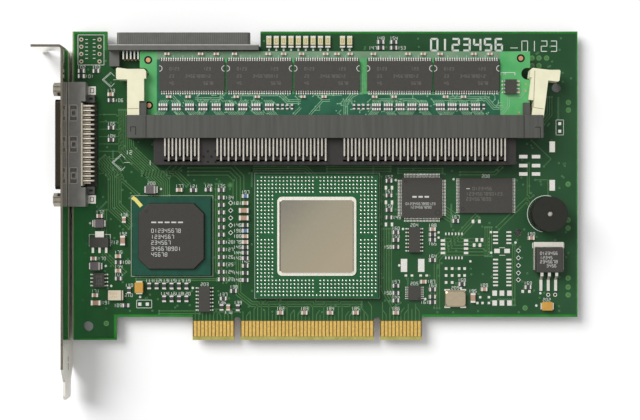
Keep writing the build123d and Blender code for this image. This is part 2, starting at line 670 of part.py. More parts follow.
def memory_socket_pin_guide():
    half = GUIDE_LENGTH / 2
    guide = block(SOCKET_X - half, SOCKET_X + half, SOCKET_BACK - GUIDE_DEPTH, SOCKET_BACK, 0, GUIDE_HEIGHT)
    places = socket_pin_places()
    starts = (0, *SOCKET_KEYS)
    ends = (*SOCKET_KEYS, SOCKET_PINS)
    for reach in (SHORT_PIN_REACH, LONG_PIN_REACH):
        back = SOCKET_BACK - reach - GUIDE_SLOT_CLEARANCE
        front = SOCKET_BACK - reach + SOCKET_PIN_THICKNESS + GUIDE_SLOT_CLEARANCE
        for start, end in zip(starts, ends):
            side = SOCKET_PIN_WIDTH / 2 + GUIDE_SLOT_CLEARANCE
            guide -= block(places[start] - side, places[end - 1] + side, back, front, 0, GUIDE_HEIGHT)
    return guide


def memory_socket_contacts():
    short_pin = bent_pin(SOCKET_PIN_WIDTH, SOCKET_PIN_THICKNESS, SHORT_PIN_REACH, SOCKET_PIN_HEIGHT)
    long_pin = bent_pin(SOCKET_PIN_WIDTH, SOCKET_PIN_THICKNESS, LONG_PIN_REACH, SOCKET_PIN_HEIGHT)
    contacts = []
    for number, x in enumerate(socket_pin_places()):
        pin = long_pin if number % 2 else short_pin
        contacts.append(Pos(x, SOCKET_BACK, 0) * Rot(0, 0, -90) * pin)
    return contacts


def latch():
    """Left latch in its closed place, drawn from its pivot."""
    outline = Polygon(
        (-FOOT_RADIUS, 0), (FOOT_RADIUS, 0), (STEM_INNER, FOOT_RADIUS), (STEM_INNER, STEM_STEP),
        (STEM_UPPER, STEM_STEP), (STEM_UPPER, HOOK_BASE), (HOOK_REACH, HOOK_BASE), (HOOK_REACH, HOOK_TOP),
        (STEM_UPPER, LATCH_TOP), (-FOOT_RADIUS, LATCH_TOP), (-GRIP_REACH, GRIP_TOP), (-GRIP_REACH, GRIP_BASE),
        (-FOOT_RADIUS, GRIP_BASE), align=None,
    )
    grip = [corner for corner in outline.vertices() if corner.X < -FOOT_RADIUS - LATCH_CORNER]
    outline = chamfer(grip, LATCH_CORNER) + Circle(FOOT_RADIUS)
    body = Pos(0, 0, LATCH_BASE) * extrude(outline, amount=LATCH_THICKNESS)
    # Groove along the module's end, with the lug that enters the module's notch
    groove = PIVOT_OFFSET - MODULE_HALF - MODULE_CLEARANCE
    body -= block(
        groove, HOOK_REACH, -FOOT_RADIUS, GRIP_TOP, MODULE_BACK - MODULE_CLEARANCE,
        MODULE_FACE + MODULE_CLEARANCE,
    )
    lug = Polygon(
        (groove, -LUG_BASE / 2), (LUG_TIP, -LUG_END / 2), (LUG_TIP, LUG_END / 2), (groove, LUG_BASE / 2),
        align=None,
    )
    lug_y = MODULE_BOTTOM + NOTCH_RISE - PIVOT_Y
    body += Pos(0, lug_y, LATCH_BASE) * extrude(lug, amount=LATCH_THICKNESS)
    pivot_length = LATCH_THICKNESS + 2 * PIVOT_REACH
    body += Pos(0, 0, LATCH_BASE - PIVOT_REACH) * extrude(small_round(PIVOT_WIDTH / 2), amount=pivot_length)
    return body


def left_latch():
    return Pos(SOCKET_X - PIVOT_OFFSET, PIVOT_Y, 0) * latch()


def right_latch():
    ajar = Rot(0, 0, -RIGHT_LATCH_AJAR) * mirror(latch(), about=Plane.YZ)
    return Pos(SOCKET_X + PIVOT_OFFSET, PIVOT_Y, 0) * ajar


def memory_board():
    board = block(
        SOCKET_X - MODULE_HALF, SOCKET_X + MODULE_HALF, MODULE_BOTTOM, MODULE_TOP, MODULE_BACK, MODULE_FACE
    )
    middle = (MODULE_BACK + MODULE_FACE) / 2
    notch_y = MODULE_BOTTOM + NOTCH_RISE
    for side in (-1, 1):
        end = SOCKET_X + side * MODULE_HALF
        inset = end - side * NOTCH_INSET
        board -= block(
            min(end, inset), max(end, inset), notch_y - NOTCH_RADIUS, notch_y + NOTCH_RADIUS,
            MODULE_BACK, MODULE_FACE,
        )
        board -= Pos(inset, notch_y, middle) * Cylinder(NOTCH_RADIUS, MODULE_THICKNESS)
    places = socket_pin_places()
    for key in SOCKET_KEYS:
        key_x = (places[key - 1] + places[key]) / 2
        board -= block(
            key_x - MODULE_KEY_WIDTH / 2, key_x + MODULE_KEY_WIDTH / 2, MODULE_BOTTOM,
            MODULE_BOTTOM + MODULE_KEY_DEPTH, MODULE_BACK, MODULE_FACE,
        )
    return board


def memory_chip(number):
    return standing(MEMORY_CHIP, (CHIP_SPOTS[number], CHIP_ROW), MODULE_FACE)


def on_module(size, runs, row):
    """Equal small parts in evenly spaced runs along a row of the memory module."""
    places = [x for first, count, pitch in runs for x in run(first, count, pitch)]
    return [standing(size, (x, row), MODULE_FACE) for x in places]


def memory_capacitors():
    rows = ((MODULE_TOP_ROW, MODULE_TOP_SPOTS), (MODULE_LOWER_ROW, MODULE_LOWER_SPOTS))
    return [standing(MODULE_CAPACITOR, (x, row), MODULE_FACE) for row, spots in rows for x in spots]


def small_chip(spot, length, base=0.0):
    """Narrow chip with its length along Y and leads along both long sides."""
    return standing((SMALL_BODY_WIDTH, length, SMALL_BODY_HEIGHT), spot, base)


def small_leads(spot, per_side, base=0.0):
    return leads_on_sides(
        ramp_lead(SMALL_LEAD), per_side, SMALL_PITCH, spot, SMALL_BODY_WIDTH / 2, base, (0, 180)
    )


def small_chip_leads():
    leads = small_leads(LEFT_BUFFER_SPOT, 7) + small_leads(RIGHT_BUFFER_SPOT, 7)
    leads += small_leads(CONFIGURATION_SPOT, 4)
    leads += leads_on_sides(
        ramp_lead(CLOCK_LEAD), CLOCK_LEADS, CLOCK_PITCH, CLOCK_SPOT, CLOCK_BODY[0] / 2, 0, (0, 180)
    )
    return leads


def processor_lid():
    rim = Pos(*PROCESSOR_SPOT, PROCESSOR_FACE) * extrude(
        RectangleRounded(LID_SIDE, LID_SIDE, LID_CORNER), amount=LID_RIM_HEIGHT
    )
    plateau_side = LID_SIDE - 2 * LID_RIM
    plateau = chamfer(Rectangle(plateau_side, plateau_side).vertices(), LID_CORNER - LID_RIM)
    return rim + Pos(*PROCESSOR_SPOT, PROCESSOR_FACE) * extrude(plateau, amount=LID_HEIGHT)


def port_controller_mould():
    outline = chamfer(Rectangle(MOULD_SIDE, MOULD_SIDE).vertices(), MOULD_CHAMFER)
    top = offset(outline, amount=-MOULD_DRAFT, kind=Kind.INTERSECTION)
    return Pos(*CONTROLLER_SPOT, CONTROLLER_FACE) * loft([outline, Pos(0, 0, MOULD_HEIGHT) * top])


def ball_grid_substrate(spot, side, thickness):
    """Package laminate on a plain pad, which stands for the field of solder balls under it."""
    field = side - 2 * BALL_MARGIN
    return standing((side, side, thickness), spot, BALL_HEIGHT) + standing((field, field, BALL_HEIGHT), spot)


def regulator_tab():
    width, depth, thickness = REGULATOR_TAB
    top = REGULATOR_BASE + REGULATOR_BODY[1] + REGULATOR_TAB_REACH
    return block(REGULATOR_X - width / 2, REGULATOR_X + width / 2, top - depth, top, 0, thickness)


def regulator_body():
    width, depth, height = REGULATOR_BODY
    base = Rectangle(width, depth)
    top = Pos(0, 0, height) * Rectangle(width - 2 * REGULATOR_DRAFT, depth - 2 * REGULATOR_DRAFT)
    return Pos(REGULATOR_X, REGULATOR_BASE + depth / 2, REGULATOR_TAB[2]) * loft([base, top])


def regulator_leads():
    """Three leads that step down from the body to the board."""
    upper = REGULATOR_LEAD_HEIGHT
    thick = REGULATOR_LEAD_THICKNESS
    profile = Plane.XZ * Polygon(
        (0, upper), (0, upper - thick), (REGULATOR_SHOULDER - thick / 2, upper - thick),
        (REGULATOR_ANKLE - thick / 2, 0), (REGULATOR_TOE, 0), (REGULATOR_TOE, thick), (REGULATOR_ANKLE, thick),
        (REGULATOR_SHOULDER, upper), align=None,
    )
    lead = extrude(profile, amount=REGULATOR_LEAD_WIDTH / 2, both=True)
    start = REGULATOR_BASE + REGULATOR_DRAFT * (upper - thick / 2 - REGULATOR_TAB[2]) / REGULATOR_BODY[2]
    places = [REGULATOR_X + place for place in centred(3, REGULATOR_PITCH)]
    return [Pos(x, start, 0) * Rot(0, 0, -90) * lead for x in places]


def small_regulator_terminals():
    x, y = SMALL_REGULATOR_SPOT
    top = y + SMALL_REGULATOR_BODY[1] / 2
    bottom = y - SMALL_REGULATOR_BODY[1] / 2
    terminals = [standing(SMALL_REGULATOR_TAB, (x, top + SMALL_REGULATOR_TAB[1] / 2))]
    for place in centred(3, SMALL_REGULATOR_PITCH):
        terminals.append(standing(SMALL_REGULATOR_LEAD, (x + place, bottom - SMALL_REGULATOR_LEAD[1] / 2)))
    return terminals


def buzzer():
    can = Cylinder(BUZZER_WIDTH / 2, BUZZER_HEIGHT, align=(Align.CENTER, Align.CENTER, Align.MIN))
    hole = Cylinder(BUZZER_HOLE / 2, BUZZER_HOLE_DEPTH, align=(Align.CENTER, Align.CENTER, Align.MAX))
    return Pos(*BUZZER_SPOT, 0) * (can - Pos(0, 0, BUZZER_HEIGHT) * hole)


def buzzer_pins():
    x, y = BUZZER_SPOT
    size = (BUZZER_PIN, BUZZER_PIN, TAIL_DEPTH)
    return [standing(size, (x + place, y), -TAIL_DEPTH) for place in centred(2, BUZZER_PIN_SPACING)]


def status_lamps():
    spots = [(x, LAMP_ROW) for first, count, pitch in LAMP_RUNS for x in run(first, count, pitch)]
    return [standing(LAMP, spot) for spot in spots]


def at_spots(size, spots):
    """Equal small parts on the board, each with its own spot and turn."""
    return [standing(size, (x, y), turn=turn) for x, y, turn in spots]


def tantalum_terminals():
    terminals = []
    reach = (TANTALUM[0] + TANTALUM_TERMINAL[0]) / 2
    for x, y, turn in ORANGE_TANTALUMS + DARK_TANTALUMS:
        for offset_x in (-reach, reach):
            terminals.append(Pos(x, y, 0) * Rot(0, 0, turn) * standing(TANTALUM_TERMINAL, (offset_x, 0)))
    return terminals


def crystal_can():
    outline = chamfer(Rectangle(CRYSTAL_CAN[0], CRYSTAL_CAN[1]).vertices(), CRYSTAL_CORNER)
    can = extrude(outline, amount=CRYSTAL_CAN[2])
    return Pos(*CRYSTAL_SPOT, 0) * (standing(CRYSTAL_FLANGE, (0, 0)) + can)


def ceramic_capacitors():
    column_x, column = CAPACITOR_COLUMN
    row_y, row = CAPACITOR_TONGUE_ROW
    spots = [(column_x, y, 0) for y in column] + [(x, row_y, 0) for x in row] + list(CAPACITOR_SPOTS)
    return at_spots(CAPACITOR, spots)


def chip_resistors():
    column_x, first, count, pitch = RESISTOR_RUN_COLUMN
    spots = [(column_x, y, 0) for y in run(first, count, pitch)]
    spots += [(x, y, 90) for first, y, count, pitch in RESISTOR_RUN_ROWS for x in run(first, count, pitch)]
    spots += [(x, y, 0) for x, column in RESISTOR_COLUMNS for y in column]
    return at_spots(RESISTOR, spots + list(RESISTOR_SPOTS))


PIECES = {
    "circuit_board": circuit_board(),
    "edge_fingers": edge_fingers(),
    "mounting_bracket": mounting_bracket(),
    "external_port_housing": external_port_housing(),
    "external_port_carrier": external_port_carrier(),
    "external_port_shell": external_port_shell(),
    "external_port_contacts": external_port_contacts(),
    "external_port_board_locks": external_port_board_locks(),
    "jack_sockets": jack_sockets(),
    "internal_port_housing": internal_port_housing(),
    "internal_port_contacts": internal_port_contacts(),
    "memory_socket_housing": memory_socket_housing(),
    "memory_socket_pin_guide": memory_socket_pin_guide(),
    "memory_socket_contacts": memory_socket_contacts(),
    "left_latch": left_latch(),
    "right_latch": right_latch(),
    "memory_board": memory_board(),
    **{f"memory_chip_{number + 1}": memory_chip(number) for number in range(len(CHIP_SPOTS))},
    "memory_resistor_packs": on_module(PACK, PACK_RUNS, PACK_ROW),
    "memory_resistors": on_module(SINGLE, SINGLE_RUNS, PACK_ROW),
    "memory_capacitors": memory_capacitors(),
    "serial_memory_chip": small_chip(EEPROM_SPOT, EIGHT_LEAD_LENGTH, MODULE_FACE),
    "serial_memory_leads": small_leads(EEPROM_SPOT, 4, MODULE_FACE),
    "processor_substrate": ball_grid_substrate(PROCESSOR_SPOT, PROCESSOR_SIDE, PROCESSOR_THICKNESS),
    "processor_lid": processor_lid(),
    "port_controller_substrate": ball_grid_substrate(CONTROLLER_SPOT, CONTROLLER_SIDE, CONTROLLER_THICKNESS),
    "port_controller_mould": port_controller_mould(),
    "logic_chip": standing(LOGIC_BODY, LOGIC_SPOT),
    "flash_chip": standing(FLASH_BODY, FLASH_SPOT),
    "left_buffer_chip": small_chip(LEFT_BUFFER_SPOT, FOURTEEN_LEAD_LENGTH),
    "right_buffer_chip": small_chip(RIGHT_BUFFER_SPOT, FOURTEEN_LEAD_LENGTH),
    "configuration_chip": small_chip(CONFIGURATION_SPOT, EIGHT_LEAD_LENGTH),
    "clock_chip": standing(CLOCK_BODY, CLOCK_SPOT),
    "small_chip_leads": small_chip_leads(),
    "regulator_body": regulator_body(),
    "regulator_tab": regulator_tab(),
    "regulator_leads": regulator_leads(),
    "small_regulator_body": standing(SMALL_REGULATOR_BODY, SMALL_REGULATOR_SPOT),
    "small_regulator_terminals": small_regulator_terminals(),
    "buzzer": buzzer(),
    "buzzer_pins": buzzer_pins(),
    "status_lamps": status_lamps(),
    "orange_tantalum_capacitors": at_spots(TANTALUM, ORANGE_TANTALUMS),
    "dark_tantalum_capacitors": at_spots(TANTALUM, DARK_TANTALUMS),
    "tantalum_terminals": tantalum_terminals(),
    "crystal_can": crystal_can(),
    "resonator": standing(RESONATOR, RESONATOR_SPOT),
    "ceramic_capacitors": ceramic_capacitors(),
    "large_capacitors": at_spots(LARGE_CAPACITOR, LARGE_CAPACITOR_SPOTS),
    "chip_resistors": chip_resistors(),
    "film_resistors": at_spots(RESISTOR, FILM_RESISTOR_SPOTS),
}


def solids_of(piece):
    """The solids of a piece or of a group of pieces."""
    shapes = piece if isinstance(piece, list) else [piece]
    return [solid for shape in shapes for solid in shape.solids()]


os.makedirs("parts", exist_ok=True)
card = Compound([solid for piece in PIECES.values() for solid in solids_of(piece)]).bounding_box()
to_frame = Pos(-(card.min.X + card.max.X) / 2, -(card.min.Y + card.max.Y) / 2, -card.min.Z)
for name, piece in PIECES.items():
    export_step(Compound([to_frame * solid for solid in solids_of(piece)]), f"parts/{name}.step")
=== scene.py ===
import json
import math
import random

import bmesh
import bpy
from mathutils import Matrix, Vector


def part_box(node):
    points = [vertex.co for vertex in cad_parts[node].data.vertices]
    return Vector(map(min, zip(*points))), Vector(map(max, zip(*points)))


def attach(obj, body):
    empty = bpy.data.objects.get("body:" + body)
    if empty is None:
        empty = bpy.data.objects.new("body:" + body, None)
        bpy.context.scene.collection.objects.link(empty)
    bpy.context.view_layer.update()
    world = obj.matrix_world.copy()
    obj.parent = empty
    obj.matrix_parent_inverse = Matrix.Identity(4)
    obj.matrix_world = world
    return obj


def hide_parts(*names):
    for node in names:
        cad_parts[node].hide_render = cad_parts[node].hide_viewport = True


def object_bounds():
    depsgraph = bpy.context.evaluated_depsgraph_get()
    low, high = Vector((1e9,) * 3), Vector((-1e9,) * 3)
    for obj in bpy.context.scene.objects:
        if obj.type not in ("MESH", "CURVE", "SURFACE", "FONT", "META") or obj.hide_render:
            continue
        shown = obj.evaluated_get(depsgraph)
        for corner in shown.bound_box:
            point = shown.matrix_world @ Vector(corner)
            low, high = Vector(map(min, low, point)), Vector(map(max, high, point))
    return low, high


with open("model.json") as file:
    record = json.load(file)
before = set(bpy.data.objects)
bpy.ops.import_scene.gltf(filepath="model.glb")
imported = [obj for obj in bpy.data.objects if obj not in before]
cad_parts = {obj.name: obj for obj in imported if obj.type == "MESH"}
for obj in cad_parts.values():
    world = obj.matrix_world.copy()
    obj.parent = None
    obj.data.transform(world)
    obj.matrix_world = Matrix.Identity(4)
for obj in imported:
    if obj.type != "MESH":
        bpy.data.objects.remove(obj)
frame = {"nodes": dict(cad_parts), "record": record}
cad_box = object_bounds()

# Places are in millimetres from the board's left finger-side corner, with z 0 on its component face
MM = 0.001
NODES = frame["nodes"]
SUBPARTS = frame["record"]["subparts"]
FOOT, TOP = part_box("circuit_board")
ORIGIN = Vector((FOOT.x, FOOT.y, TOP.z))
LENGTH, HEIGHT, THICK = (TOP - FOOT) / MM
UNDER = -THICK
BAY = 7.95  # board edge beside the tongue
TONGUE = (41.57, 120.79)
INK_FILM = 0.03
MARK_FILM = 0.02
THIN_FILM = 0.015
COPPER_FILM = 0.012
FIGURE_FILM = 0.008
FIELD_FILM = 0.006
ACROSS = ((1, 0), (-1, 0))
UPRIGHT = ((0, 1), (0, -1))
MEMORY_CHIPS = [f"memory_chip_{number}" for number in range(1, 6)]
dice = random.Random(5)


def spot(x, y, z=0.0):
    """A place in board millimetres, as a point of the frame."""
    return ORIGIN + Vector((x, y, z)) * MM


def box_of(node):
    """Low and high corner of a node in board millimetres."""
    return [(corner - ORIGIN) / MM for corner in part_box(node)]


def top_of(node):
    """Middle of a node's upper side in board millimetres."""
    low, high = box_of(node)
    x, y, _ = (low + high) / 2
    return x, y, high.z


def lumps(node):
    """Low and high corners of each separate solid in a node, in board millimetres."""
    mesh = NODES[node].data
    keys = [tuple(round(c * 1e6) for c in v.co) for v in mesh.vertices]
    parent = {key: key for key in keys}

    def root(key):
        while parent[key] != key:
            parent[key] = parent[parent[key]]
            key = parent[key]
        return key

    for face in mesh.polygons:
        first = root(keys[face.vertices[0]])
        for index in face.vertices[1:]:
            parent[root(keys[index])] = first
    groups = {}
    for key, vertex in zip(keys, mesh.vertices):
        groups.setdefault(root(key), []).append((vertex.co - ORIGIN) / MM)
    found = []
    for points in groups.values():
        low, high = (Vector([pick(p[i] for p in points) for i in range(3)]) for pick in (min, max))
        found.append((low, high))
    return sorted(found, key=lambda pair: (round(pair[0].x, 2), round(pair[0].y, 2), pair[0].z))


def grid(xs, ys):
    return [(x, y) for x in xs for y in ys]


def evenly(count, pitch):
    """Places at one pitch, with 0 in their middle."""
    return [(step - (count - 1) / 2) * pitch for step in range(count)]


def shares(start, end, count):
    """Middles of the equal shares of a span."""
    return [start + (end - start) * (step + 0.5) / count for step in range(count)]


# Shapes

DIGITS = {"0": "abcdef", "1": "h", "2": "abged", "3": "abgcd", "4": "fgbc",
          "5": "afgcd", "6": "afgedc", "7": "abc", "8": "abcdefg", "9": "abcdfg"}
STROKES = {"a": ((0, 2), (1, 2)), "b": ((1, 2), (1, 1)), "c": ((1, 1), (1, 0)), "d": ((0, 0), (1, 0)),
           "e": ((0, 0), (0, 1)), "f": ((0, 1), (0, 2)), "g": ((0, 1), (1, 1)), "h": ((0.5, 0), (0.5, 2))}
DIGIT_WIDTH = 0.55  # of its height
DIGIT_STEP = 0.93
LEAD_THICK = 0.15


def figures(length, first=0):
    """Plain figures that count up from the first one."""
    return "".join(str((first + i) % 10) for i in range(length))


def shifted(path, amount):
    """The path moved sideways, to its left, with mitred corners."""
    moved = []
    for i, (x, y) in enumerate(path):
        sides = []
        for a, b in ((i - 1, i), (i, i + 1)):
            if a >= 0 and b < len(path):
                step = Vector((path[b][0] - path[a][0], path[b][1] - path[a][1])).normalized()
                sides.append(Vector((-step.y, step.x)))
        mean = sum(sides, Vector((0, 0))).normalized()
        reach = amount / max(mean.dot(sides[0]), 0.3)
        moved.append((x + mean.x * reach, y + mean.y * reach))
    return moved


def circle(x, y, radius, sides):
    turns = [2 * math.pi * i / sides for i in range(sides)]
    return [(x + radius * math.cos(a), y + radius * math.sin(a)) for a in turns]


def band(low, high, n):
    """Faces between two loops of n points, which start at the points low and high."""
    return [[low + i, low + (i + 1) % n, high + (i + 1) % n, high + i] for i in range(n)]


def placed(name, data):
    """A new object in the scene."""
    obj = bpy.data.objects.new(name, data)
    bpy.context.scene.collection.objects.link(obj)
    return obj


class Shape:
    """Faces gathered in board millimetres, which become one piece."""

    def __init__(self):
        self.points = []
        self.faces = []

    def add(self, points, faces):
        start = len(self.points)
        self.points.extend(points)
        self.faces.extend([[start + i for i in face] for face in faces])

    def prism(self, outline, z0, z1):
        n = len(outline)
        points = [(x, y, z) for z in (z0, z1) for x, y in outline]
        self.add(points, band(0, n, n) + [list(range(n))[::-1], list(range(n, 2 * n))])

    def slab(self, x0, y0, x1, y1, z0, z1):
        self.prism([(x0, y0), (x1, y0), (x1, y1), (x0, y1)], z0, z1)

    def pad(self, x, y, length, width, z0, z1):
        self.slab(x - length / 2, y - width / 2, x + length / 2, y + width / 2, z0, z1)

    def disc(self, x, y, radius, z0=0.0, z1=INK_FILM, sides=16):
        self.prism(circle(x, y, radius, sides), z0, z1)

    def ring(self, x, y, inner, outer, z0, z1, sides=16, lying=False):
        """An upright ring, or one lying about X, whose place is its Y and Z and whose ends are in X."""
        points = []
        for radius, z in ((inner, z0), (inner, z1), (outer, z1), (outer, z0)):
            points += [(z, u, v) if lying else (u, v, z) for u, v in circle(x, y, radius, sides)]
        faces = []
        for loop in range(4):
            faces += band(loop * sides, (loop + 1) % 4 * sides, sides)
        self.add(points, faces)

    def dome(self, x, y, z, radius, height, sides=12, rings=3):
        points = []
        for k in range(rings):
            lift = math.pi / 2 * k / rings
            loop = circle(x, y, radius * math.cos(lift), sides)
            points += [(u, v, z + height * math.sin(lift)) for u, v in loop]
        faces = [list(range(sides))]
        for k in range(rings - 1):
            faces += band(k * sides, (k + 1) * sides, sides)
        last = (rings - 1) * sides
        faces += [[last + i, last + (i + 1) % sides, rings * sides] for i in range(sides)]
        self.add(points + [(x, y, z + height)], faces)

    def ribbon(self, path, width, z0=0.0, z1=INK_FILM):
        n = len(path)
        sides = (shifted(path, width / 2), shifted(path, -width / 2))
        points = [(x, y, z) for side in sides for z in (z0, z1) for x, y in side]
        faces = [[i, n + i, 3 * n + i, 2 * n + i] for i in (0, n - 1)]
        for a, b in ((n, 3 * n), (2 * n, 0), (0, n), (3 * n, 2 * n)):
            faces += [[a + i, b + i, b + i + 1, a + i + 1] for i in range(n - 1)]
        self.add(points, faces)

    def frame_line(self, x0, y0, x1, y1, width, z0=0.0, z1=INK_FILM):
        corners = [(x0, y0), (x1, y0), (x1, y1), (x0, y1)]
        for i in range(4):
            self.ribbon([corners[i - 1], corners[i]], width, z0, z1)

    def arc(self, x, y, radius, start, end, width, z0=0.0, z1=INK_FILM, steps=12):
        turns = [math.radians(start + (end - start) * i / steps) for i in range(steps + 1)]
        self.ribbon([(x + radius * math.cos(a), y + radius * math.sin(a)) for a in turns], width, z0, z1)

    def number(self, text, x, y, height, z0=0.0, z1=INK_FILM, stroke=0.14):
        """Plain figures from straight strokes, which are a share of the height wide."""
        wide = height * DIGIT_WIDTH
        for place, digit in enumerate(text):
            left = x + place * height * DIGIT_STEP
            for name in DIGITS[digit]:
                path = [(left + u * wide, y + v * height / 2) for u, v in STROKES[name]]
                self.ribbon(path, height * stroke, z0, z1)

    def gull(self, x, y, z, out, width, height, reach, foot):
        """One bent lead, from the side of a package at x, y down to its foot."""
        bend = LEAD_THICK / 2
        rise = height - bend
        ankle = reach - foot
        knee = ankle * 0.35
        lower = [(0, rise), (knee, rise), (ankle, 0), (reach, 0)]
        upper = [(0, rise + LEAD_THICK), (knee + bend, rise + LEAD_THICK), (ankle + bend, LEAD_THICK),
                 (reach, LEAD_THICK)]
        outline = lower + upper[::-1]
        n = len(outline)
        points = [(x + out[0] * s - out[1] * side, y + out[1] * s + out[0] * side, z + h)
                  for side in (-width / 2, width / 2) for s, h in outline]
        faces = band(0, n, n)
        for start in (0, n):
            faces += [[start + i, start + i + 1, start + n - 2 - i, start + n - 1 - i] for i in range(3)]
        self.add(points, faces)

    def piece(self, name, material, slot, body="card"):
        mesh = bpy.data.meshes.new(name)
        mesh.from_pydata([spot(*p) for p in self.points], [], self.faces)
        mesh.validate()
        shell = bmesh.new()
        shell.from_mesh(mesh)
        bmesh.ops.recalc_face_normals(shell, faces=shell.faces)
        shell.to_mesh(mesh)
        shell.free()
        obj = placed(name, mesh)
        obj.data.materials.append(material)
        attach(obj, body)
        return obj


# Materials

MIX_FIRST, MIX_SECOND, MIX_RESULT = 6, 7, 2  # colour sockets of a mix node


def new_node(tree, kind, inputs, **settings):
    """A new node. Outputs of other nodes are linked to its sockets, and plain values are set."""
    made = tree.nodes.new(kind)
    for key, value in settings.items():
        setattr(made, key, value)
    for socket, value in inputs.items():
        if isinstance(value, bpy.types.NodeSocket):
            tree.links.new(value, made.inputs[socket])
        else:
            made.inputs[socket].default_value = value
    return made


def colour_ramp(tree, value, stops):
    made = new_node(tree, "ShaderNodeValToRGB", {"Fac": value})
    colours = made.color_ramp.elements
    while len(colours) < len(stops):
        colours.new(0.5)
    for element, (position, colour) in zip(colours, stops):
        element.position = position
        element.color = (*colour, 1.0)
    return made.outputs["Color"]


class Paint:
    """A procedural surface, built up node by node."""

    def __init__(self, name, rough=0.5, metal=0.0, coat=0.0, gloss=0.5):
        self.material = bpy.data.materials.new(name)
        self.material.use_nodes = True
        self.tree = self.material.node_tree
        self.shader = self.tree.nodes["Principled BSDF"]
        fixed = {"Roughness": rough, "Metallic": metal, "Coat Weight": coat, "Specular IOR Level": gloss}
        for socket, value in fixed.items():
            self.shader.inputs[socket].default_value = value
        self.place = self.node("ShaderNodeTexCoord", {}).outputs["Object"]

    def node(self, kind, inputs, **settings):
        return new_node(self.tree, kind, inputs, **settings)

    def noise(self, grain, detail=3.0, stretch=(1, 1, 1)):
        """Cloudy values with lumps of about grain millimetres."""
        scaled = self.node("ShaderNodeMapping", {"Vector": self.place, "Scale": stretch}).outputs["Vector"]
        cloud = {"Vector": scaled, "Scale": 1 / (grain * MM), "Detail": detail}
        return self.node("ShaderNodeTexNoise", cloud).outputs["Fac"]

    def ramp(self, value, stops):
        return colour_ramp(self.tree, value, stops)

    def cloudy(self, value, low, high):
        return self.ramp(value, [(0.3, low), (0.7, high)])

    def axis(self, index, start, end):
        """Goes from 0 to 1 between two board places along one axis."""
        along = self.node("ShaderNodeSeparateXYZ", {"Vector": self.place}).outputs[index]
        first, last = (ORIGIN[index] + place * MM for place in (start, end))
        reach = {"Value": along, "From Min": first, "From Max": last}
        return self.node("ShaderNodeMapRange", reach).outputs["Result"]

    def math(self, operation, first, *others):
        """The values taken together, two at a time."""
        for other in others:
            first = self.node("ShaderNodeMath", {0: first, 1: other}, operation=operation).outputs["Value"]
        return first

    def least(self, *values):
        return self.math("MINIMUM", *values)

    def most(self, *values):
        return self.math("MAXIMUM", *values)

    def mix(self, factor, first, second):
        inputs = {"Factor": factor, MIX_FIRST: first, MIX_SECOND: second}
        return self.node("ShaderNodeMix", inputs, data_type="RGBA").outputs[MIX_RESULT]

    def colour(self, value):
        self.tree.links.new(value, self.shader.inputs["Base Color"])

    def roughness(self, value, low, high):
        reach = self.node("ShaderNodeMapRange", {"Value": value, "To Min": low, "To Max": high})
        self.tree.links.new(reach.outputs["Result"], self.shader.inputs["Roughness"])

    def bump(self, value, depth, strength=0.4):
        made = self.node("ShaderNodeBump", {"Height": value, "Distance": depth * MM, "Strength": strength})
        self.tree.links.new(made.outputs["Normal"], self.shader.inputs["Normal"])

    def weave(self):
        """The faint glass cloth under a resist."""
        warp, weft = (self.noise(0.35, 1.0, stretch) for stretch in ((1, 0.12, 1), (0.12, 1, 1)))
        self.bump(self.math("ADD", warp, weft), 0.006, 0.25)


def lighter(colour, amount):
    return tuple(min(1.0, c * amount) for c in colour)


def plain(name, colour, rough, spread=0.12, grain=1.5, bump=0.004, gloss=0.5, metal=0.0, coat=0.0,
          stretch=(1, 1, 1)):
    """A moulded, fired or rolled surface: cloudy colour, uneven gloss and a fine grain."""
    paint = Paint(name, rough, metal, coat, gloss)
    cloud = paint.noise(grain, 3.0, stretch)
    paint.colour(paint.cloudy(cloud, lighter(colour, 1 - spread), lighter(colour, 1 + spread)))
    paint.roughness(cloud, max(0.05, rough - 0.07), rough + 0.07)
    paint.bump(paint.noise(0.12), bump)
    return paint.material


def plated(name, colour, rough, metal, spread, grain, bump=0.004):
    """A bright metal surface."""
    return plain(name, colour, rough, spread, grain, bump, metal=metal)


def moulded(name, colour, spread, grain, stretch=(1, 1, 1)):
    """The plastic of a housing."""
    return plain(name, colour, 0.5, spread, grain, 0.008, 0.4, stretch=stretch)


def epoxy(name, colour):
    """The sandy mould of a chip."""
    return plain(name, colour, 0.56, 0.12, 0.6, 0.012, 0.4)


def resist(name, colour, spread=0.14, grain=0.8):
    """Green lacquer over copper."""
    return plain(name, colour, 0.36, spread, grain, 0.003, 0.25)


def ink(name, colour, spread, gloss=0.5):
    return plain(name, colour, 0.6, spread, 0.5, 0.002, gloss)


def shaded(name, colour, spread, grain, bump):
    """A groove or pocket in a moulding."""
    return plain(name, colour, 0.6, spread, grain, bump, 0.3)


def brushed(name, colour, rough, stretch):
    """Rolled sheet metal with streaks along one way."""
    paint = Paint(name, rough, 1.0)
    streak = paint.noise(0.25, 3.0, stretch)
    paint.colour(paint.cloudy(streak, lighter(colour, 0.92), lighter(colour, 1.06)))
    paint.roughness(streak, rough * 0.7, rough * 1.4)
    paint.bump(streak, 0.003, 0.3)
    return paint.material


